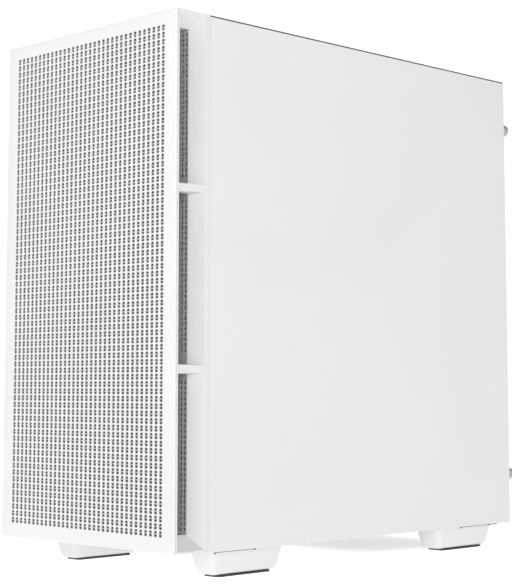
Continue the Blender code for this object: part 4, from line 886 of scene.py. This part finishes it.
# ---- motherboard and what sits on it ----
def board_details():
    """Chokes, capacitors, chips, slots, connectors and screws on the board's face."""
    low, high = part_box("motherboard")
    face = BOARD_FACE
    parts = bmesh.new()
    BODY, METAL, PALE = range(3)
    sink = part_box("cpu_cooler")
    socket_y, socket_z = (sink[0].y + sink[1].y) / 2, (sink[0].z + sink[1].z) / 2

    def on_board(y, z, wide, tall, rise, material=BODY, rim=0.0004):
        block(parts, (face - rise, y - wide / 2, z - tall / 2),
              (face + 0.0002, y + wide / 2, z + tall / 2), rim, 2, material)

    def can(y, z, radius, rise):
        turned(parts, (face, y, z), (-1, 0, 0), [
            (TIP, -0.0002), (radius, -0.0002), (radius, 0.0008), (radius * 0.93, 0.0011),
            (radius, 0.0014), (radius, rise - 0.0004), (radius * 0.9, rise), (TIP, rise)], 20, METAL)

    for k in range(CHOKES):
        z = socket_z - 0.036 + k * CHOKE_PITCH
        on_board(socket_y + 0.036, z, 0.009, 0.0095, 0.006, BODY, 0.001)
        can(socket_y + 0.0465, z, 0.0032, 0.009)
    for k in range(CHOKES - 1):
        y = socket_y - 0.03 + k * CHOKE_PITCH
        on_board(y, socket_z + 0.044, 0.0095, 0.009, 0.006, BODY, 0.001)
    on_board(socket_y, socket_z, 0.05, 0.052, 0.0035, PALE, 0.0008)
    for y, z in ((low.y + 0.014, high.z - 0.07), (low.y + 0.013, high.z - 0.03)):
        on_board(y, z, 0.011, 0.052 if z < high.z - 0.05 else 0.012, 0.009)
    for k in range(4):
        on_board(low.y + 0.008, low.z + 0.045 + k * 0.016, 0.012, 0.0135, 0.0085)
    on_board(low.y + 0.05, low.z + 0.052, 0.034, 0.034, 0.006, METAL, 0.0015)
    for k in range(5):
        on_board(low.y + 0.036 + k * 0.007, low.z + 0.052, 0.003, 0.028, 0.0075, METAL, 0.0006)
    for k in range(9):
        on_board(low.y + 0.03 + k * 0.02, low.z + 0.0035, 0.012, 0.0045, 0.0065)
    for k in range(6):
        can(low.y + 0.1 + k * 0.012, low.z + 0.028, 0.0028, 0.0075)
    for k in range(SMALL_PARTS):
        y = low.y + 0.03 + (k * 37 % 97) / 97 * 0.18
        z = low.z + 0.012 + (k * 53 % 89) / 89 * 0.06
        on_board(y, z, 0.0032, 0.0018, 0.0011, PALE if k % 3 else METAL, 0.0002)
    for y in (low.y + 0.006, (low.y + high.y) / 2, high.y - 0.038):
        for z in (low.z + 0.006, (low.z + high.z) / 2, high.z - 0.006):
            turned(parts, (face, y, z), (-1, 0, 0), [
                (TIP, -0.0002), (0.0036, -0.0002), (0.0036, 0.0009), (0.0028, 0.0018),
                (TIP, 0.0018)], 20, METAL)
    piece("board_parts", outward(parts), "chassis", "black_plastic",
          others=("bright_steel", "card_plastic", "cooler_aluminium"))


def memory(node):
    """A memory stick: a folded, ribbed heat spreader over its board."""
    low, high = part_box(node)
    bm = bmesh.new()
    block(bm, (low.x + 0.003, low.y, low.z), (high.x - 0.006, high.y, high.z), 0.0008)
    span, ribs = high.z - low.z - 0.024, 5
    for k in range(ribs):
        z = low.z + 0.012 + k * span / ribs
        block(bm, (low.x, low.y + 0.0008, z),
              (low.x + 0.006, high.y - 0.0008, z + (span / ribs - 0.004)), 0.0006)
    middle = (low.y + high.y) / 2
    block(bm, (high.x - 0.0075, middle - 0.0006, low.z + 0.001),
          (high.x, middle + 0.0006, high.z - 0.001), 0.0001, 1, 1)
    piece(node + "_spreader", bm, "chassis", "memory_aluminium", node, others=("board_lacquer",))


def solid_drive():
    """The drive under its grooved heatsink."""
    low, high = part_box("nvme_drive")
    bm = bmesh.new()
    block(bm, low, high, 0.0003)
    for k in range(9):
        z = low.z + 0.0012 + k * 0.0023
        block(bm, (low.x - 0.0012, low.y + 0.002, z),
              (low.x + 0.0004, high.y - 0.006, z + 0.0012), 0.0002, 1)
    piece("nvme_drive_heatsink", bm, "chassis", "memory_aluminium", "nvme_drive")


# ---- rear ----
def rear_sockets():
    """The shield's sockets: USB, network, display and audio, each a shell round a dark throat."""
    low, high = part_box("rear_connectors")
    rear = high.y
    METAL, DARK, PALE = range(3)
    piece("rear_shield", welded("rear_connectors"), "chassis", "connector_block", "rear_connectors")
    bm = bmesh.new()
    centre = low.x + REAR_PLATE_EDGE + (high.x - low.x - 2 * REAR_PLATE_EDGE) / 2

    def plate(x, z, across, up, depth, proud, material):
        block(bm, (x - across / 2, rear - depth, z - up / 2),
              (x + across / 2, rear + proud, z + up / 2), 0.0001, 1, material)

    def socket(x, z, across, up, has_tongue=True):
        for side in (-1, 1):
            plate(x + side * across / 2, z, SOCKET_RIM, up, 0.0005, SOCKET_PROUD, METAL)
            plate(x, z + side * up / 2, across, SOCKET_RIM, 0.0005, SOCKET_PROUD, METAL)
        plate(x, z, across - 0.0004, up - 0.0004, 0.0004, 0.0001, DARK)
        if has_tongue:
            plate(x, z, across * 0.24, up * 0.72, 0.0, 0.0004, PALE)

    for k in range(6):
        z = high.z - 0.012 - k * 0.0165
        for side in (-1, 1):
            socket(centre + side * 0.0085, z, 0.0062, 0.0134)
    for k, (across, up) in enumerate(((0.0056, 0.015), (0.0062, 0.0165))):
        socket(centre - 0.008, low.z + 0.034 + k * 0.019, across, up, k == 0)
    socket(centre + 0.0085, low.z + 0.044, 0.0135, 0.0160, False)
    for k in range(3):
        turned(bm, (centre + (k - 1) * 0.011, rear - 0.0004, low.z + 0.012), (0, 1, 0), [
            (TIP, 0), (0.0042, 0), (0.0042, 0.0007), (0.0036, 0.0010), (0.0020, 0.0010),
            (0.0018, 0.0003), (TIP, 0.0003)], 24, DARK if k != 1 else PALE)
    piece("rear_sockets", outward(bm), "chassis", "bright_steel",
          others=("black_plastic", "cooler_aluminium"))


def strip(low, high, margins, pitches, counts, arcs, thick):
    """A perforated steel strip that faces the rear, with a rounded rim."""
    across = Lines(low.x, high.x, low.x + margins[0], pitches[0], counts[0], STRIP_RIM)
    upward = Lines(low.z, high.z, low.z + margins[1], pitches[1], counts[1], STRIP_RIM)

    def place(u, v, back):
        edge = min(u - low.x, high.x - u, v - low.z, high.z - v)
        return (u, high.y - (thick if back else rim_drop(edge, STRIP_RIM)), v)

    return perforated(place, across, upward, arcs)


def slot_cover(node):
    """A blank cover: a steel strip pierced with two rows of round-ended vents."""
    low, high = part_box(node)
    columns, rows = 16, 2
    margins = (0.007, 0.0025)
    pitches = ((high.x - low.x - 2 * margins[0]) / columns, (high.z - low.z - 2 * margins[1]) / rows)
    wide, tall = (pitch - 0.0018 for pitch in pitches)
    arcs = corner_arcs((wide, tall), wide / 2 - 0.00001, 4)
    bm = strip(low, high, margins, pitches, (columns, rows), arcs, high.y - low.y)
    piece(node + "_vented", bm, "chassis", "white_paint", node)


def card_bracket():
    """The card's two-slot bracket: four display sockets above rows of vents."""
    low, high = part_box("graphics_bracket")
    METAL, DARK = range(2)
    columns, rows = 18, 3
    margins = (0.006, 0.004)
    pitch = (high.x - low.x - 2 * margins[0]) / columns
    arcs = corner_arcs((pitch * 0.7, pitch * 0.66), pitch * 0.3, 2)
    bm = strip(low, high, margins, (pitch, pitch * 0.9), (columns, rows), arcs, BRACKET_THICK)
    for k in range(4):
        x, z = low.x + 0.014 + k * 0.0245, high.z - 0.009
        for half_u, half_v, depth, proud, material in (
            (0.0085, 0.0035, 0.0004, 0.0001, METAL),
            (0.0075, 0.0026, 0.0003, 0.0002, DARK),
        ):
            block(bm, (x - half_u, high.y - depth, z - half_v), (x + half_u, high.y + proud, z + half_v),
                  0.0005, 2, material)
    block(bm, (low.x + 0.001, low.y, low.z + 0.001),
          (high.x - 0.001, high.y - 0.002, low.z + 0.002), 0.0002)
    piece("graphics_bracket_vented", bm, "chassis", "bright_steel", "graphics_bracket",
          others=("black_plastic",))


def supply_grille():
    """Six-sided rimmed vents over the supply's rear face, and its four screws."""
    low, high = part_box("psu_case")
    inlet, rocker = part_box("psu_inlet"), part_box("psu_switch")
    left = (low.x + high.x) / 2 - VENT_COLUMNS * VENT_PITCH / 2
    bottom = (low.z + high.z) / 2 - VENT_ROWS * VENT_PITCH / 2
    rear = high.y
    face = bmesh.new()
    for i in range(VENT_COLUMNS):
        for j in range(VENT_ROWS):
            x, z = left + (i + 0.5) * VENT_PITCH, bottom + (j + 0.5) * VENT_PITCH
            if any(b[0].x - 0.007 < x < b[1].x + 0.007 and b[0].z - 0.006 < z < b[1].z + 0.006
                   for b in (inlet, rocker)):
                continue
            turned(face, (x, rear - 0.0002, z), (0, 1, 0), [
                (TIP, 0.0), (0.0020, 0.0), (0.0021, 0.0005), (0.0018, 0.0006), (0.0017, 0.0003),
                (TIP, 0.0003)], 6)
    for x in (low.x + 0.006, high.x - 0.006):
        for z in (low.z + 0.006, high.z - 0.006):
            turned(face, (x, rear, z), (0, 1, 0), [
                (TIP, -0.0002), (0.0036, -0.0002), (0.0034, 0.0010), (0.0024, 0.0016),
                (0.0008, 0.0017), (0.0007, 0.0009), (TIP, 0.0009)], 20, 1)
    piece("psu_rear_vents", outward(face), "chassis", "supply_steel", others=("bright_steel",))


def supply_fan_guard():
    """Wire rings and spokes under the supply's fan."""
    low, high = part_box("psu_fan_rotor")
    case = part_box("psu_case")
    centre = Vector(((case[0].x + case[1].x) / 2, (low.y + high.y) / 2, case[0].z + 0.0016))
    bm = bmesh.new()
    for k in range(1, GUARD_RINGS + 1):
        radius = GUARD_PITCH * k
        ring = [centre + Vector((math.cos(a) * radius, math.sin(a) * radius, 0.0))
                for a in (math.tau * s / 48 for s in range(49))]
        pipe(bm, ring, 0.0007, 6)
    for k in range(4):
        angle = math.radians(45 + 90 * k)
        spoke = Vector((math.cos(angle), math.sin(angle), 0.0))
        pipe(bm, [centre + spoke * 0.008, centre + spoke * 0.0575], 0.0008, 6)
    piece("psu_fan_guard", outward(bm), "chassis", "bright_steel")


# ---- cables ----
def sleeved_cable(node, route, radius):
    """A bundle of sleeved strands round one in the middle, slightly twisted."""
    line = smooth_line(route, 5)
    strands = 6
    bm = bmesh.new()
    for k in range(strands + 1):
        reach = 0.0 if k == strands else radius * 0.64
        path = []
        for index, point in enumerate(line):
            ahead = (line[min(index + 1, len(line) - 1)] - line[max(index - 1, 0)]).normalized()
            side = ahead.cross(Vector((0.31, 0.22, 0.92))).normalized()
            other = ahead.cross(side)
            angle = math.tau * k / strands + index * 0.05
            path.append(point + (side * math.cos(angle) + other * math.sin(angle)) * reach)
        pipe(bm, path, radius * 0.35)
    piece(node + "_strands", outward(bm), "chassis", "cable_sleeve", node)


def cables():
    """The board's cable from its plug into the tray, and the card's from its plug to the shroud."""
    x, y = BOARD_FACE - 0.0126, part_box("motherboard")[0].y + 0.007
    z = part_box("cpu_cooler")[0].z + 0.031
    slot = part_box("board_power_cable")[0].y + 0.0075
    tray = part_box("motherboard_tray")
    sleeved_cable("board_power_cable", [
        (x, y, z), (x - 0.006, y, z), (x - 0.014, y - 0.005, z), (x - 0.017, y - 0.015, z - 0.004),
        (x - 0.006, slot - 0.003, z - 0.008), (tray[1].x - 0.005, slot, z - 0.01),
        (tray[1].x + 0.010, slot, z - 0.01),
    ], 0.0045)
    card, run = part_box("graphics_card"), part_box("graphics_power_cable")
    front, top, card_x = card[0].y - 2 * GAP, card[1].z - 0.012, card[1].x - 0.016
    low_x, low_y, shroud = run[1].x - 0.0038, run[0].y + 0.0038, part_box("psu_shroud")[1].z
    sleeved_cable("graphics_power_cable", [
        (card_x, front, top), (card_x, front - 0.005, top), (card_x, front - 0.013, top - 0.008),
        (low_x, low_y, top - 0.04), (low_x, low_y, shroud), (low_x, low_y, shroud - 0.025),
        (low_x - 0.004, low_y + 0.02, shroud - 0.045),
    ], 0.0035)
    plugs = bmesh.new()
    block(plugs, (x - 0.004, y - 0.006, z - 0.026), (BOARD_FACE - 0.009, y + 0.006, z + 0.026), 0.0008)
    block(plugs, (card_x - 0.009, front - 0.006, top - 0.005),
          (card_x + 0.009, front, top + 0.005), 0.0008)
    piece("cable_plugs", plugs, "chassis", "black_plastic")


# ---- everything whose CAD shape already is the real one ----
SOFT_EDGES = {
    "front_bezel": 0.0006, "right_side_panel": 0.0004, "left_panel_bracket": 0.0004,
    "power_button": 0.0003, "reset_button": 0.0003,
    "psu_inlet": 0.0003, "psu_switch": 0.0004, "psu_case": 0.0004,
    "front_fan_1_frame": EDGE, "front_fan_2_frame": EDGE, "front_fan_3_frame": EDGE,
    "rear_fan_frame": EDGE, "cpu_fan_frame": EDGE,
}
LEVEL_FANS = ("front_fan_1_rotor", "front_fan_2_rotor", "front_fan_3_rotor",
              "rear_fan_rotor", "cpu_fan_rotor")


def carried_over():
    """CAD nodes with a true shape keep it, with rounded edges or as they are."""
    for name, node in NODES.items():
        for index in range(len(node.data.materials)):
            node.data.materials[index] = BY_SLOT[SLOTS[name]]
    for node, width in SOFT_EDGES.items():
        softened(node, width)


# ---- stage, light, camera ----
CAMERA_PLACE = (0.97454, -0.99503, 0.14625)
CAMERA_AZIMUTH, CAMERA_PITCH = 45.05, 5.81
CAMERA_LENS, CAMERA_SHIFT = 95.65, -0.1086
CAMERA_NEAR = 0.05
STAGE_HALF = 12.0
ROOM_LIGHT, BACKDROP_LIGHT = 0.43, 1.1  # what lights the object, and what the camera sees
FLOOR_GLOW, FLOOR_GLOW_SEEN = 0.45, 0.22  # its own light, and what the camera sees on top
LAMP_AIM = Vector((0.0, 0.0, 0.22))
LAMPS = (  # name, place, size, power
    ("key", (-0.4, -2.7, 1.4), 1.6, 17.0),
    ("side_fill", (2.4, -1.9, 0.7), 1.6, 31.0),
    ("rear_fill", (-1.8, 2.1, 1.3), 2.2, 22.0),
)
WHITE = (1.0, 1.0, 1.0, 1.0)


def floor():
    grid = bmesh.new()
    bmesh.ops.create_grid(grid, x_segments=8, y_segments=8, size=STAGE_HALF)
    mesh = bpy.data.meshes.new("floor")
    grid.to_mesh(mesh)
    grid.free()
    finish = Finish("pale_floor", grey(0.93))
    finish.tint(finish.noise(2.0, 1.0), finish.colour * 0.99)
    finish.rough(finish.noise(20.0), 0.85, 0.95)
    finish.shader.inputs["Emission Color"].default_value = WHITE
    glow = finish.node("ShaderNodeMath", operation="MULTIPLY_ADD")
    finish.link(finish.node("ShaderNodeLightPath").outputs["Is Camera Ray"], glow.inputs[0])
    glow.inputs[1].default_value = FLOOR_GLOW_SEEN
    glow.inputs[2].default_value = FLOOR_GLOW
    finish.link(glow.outputs["Value"], finish.shader.inputs["Emission Strength"])
    mesh.materials.append(finish.material)
    placed("floor", mesh)


def room():
    """An even white room, brighter where the camera looks straight at it."""
    world = bpy.data.worlds.new("studio")
    world.use_nodes = True
    nodes, links = world.node_tree.nodes, world.node_tree.links
    light, backdrop = nodes["Background"], nodes.new("ShaderNodeBackground")
    for shade, strength in ((light, ROOM_LIGHT), (backdrop, BACKDROP_LIGHT)):
        shade.inputs["Color"].default_value = WHITE
        shade.inputs["Strength"].default_value = strength
    either = nodes.new("ShaderNodeMixShader")
    ray = nodes.new("ShaderNodeLightPath")
    links.new(ray.outputs["Is Camera Ray"], either.inputs["Fac"])
    links.new(light.outputs["Background"], either.inputs[1])
    links.new(backdrop.outputs["Background"], either.inputs[2])
    links.new(either.outputs["Shader"], nodes["World Output"].inputs["Surface"])
    bpy.context.scene.world = world


def lamps():
    for name, place, size, power in LAMPS:
        lamp = bpy.data.lights.new(name, "AREA")
        lamp.shape = "DISK"
        lamp.size = size
        lamp.energy = power
        turn = (LAMP_AIM - Vector(place)).to_track_quat("-Z", "Y").to_matrix().to_4x4()
        placed(name, lamp).matrix_world = Matrix.Translation(place) @ turn


def camera():
    lens = bpy.data.cameras.new("camera")
    lens.lens = CAMERA_LENS
    lens.shift_y = CAMERA_SHIFT
    lens.clip_start = CAMERA_NEAR
    obj = placed("camera", lens)
    obj.location = CAMERA_PLACE
    obj.rotation_euler = (math.radians(90 + CAMERA_PITCH), 0.0, math.radians(CAMERA_AZIMUTH))
    bpy.context.scene.camera = obj
    bpy.context.scene.view_settings.view_transform = "Standard"


carried_over()
front_plate()
inner_mesh()
top_filter()
bottom_filter()
for row, level in (("front", "low"), ("rear", "high")):
    for side in ("left", "right"):
        foot(f"foot_{row}_{side}")
        foot_pad(f"foot_pad_{row}_{side}")
        thumbscrew(f"thumbscrew_{side}_{level}")
for fan in LEVEL_FANS:
    rotor(fan, (0, 1, 0), 9, 0.020)
rotor("psu_fan_rotor", (0, 0, 1), 9, 0.020)
rotor("graphics_rotor_1", (0, 0, 1), 11, 0.015)
rotor("graphics_rotor_2", (0, 0, 1), 11, 0.015)
cooler()
graphics_card()
board_details()
for number in (1, 2):
    memory(f"memory_stick_{number}")
solid_drive()
rear_sockets()
for number in (1, 2):
    slot_cover(f"slot_cover_{number}")
card_bracket()
supply_grille()
supply_fan_guard()
cables()
floor()
room()
lamps()
camera()
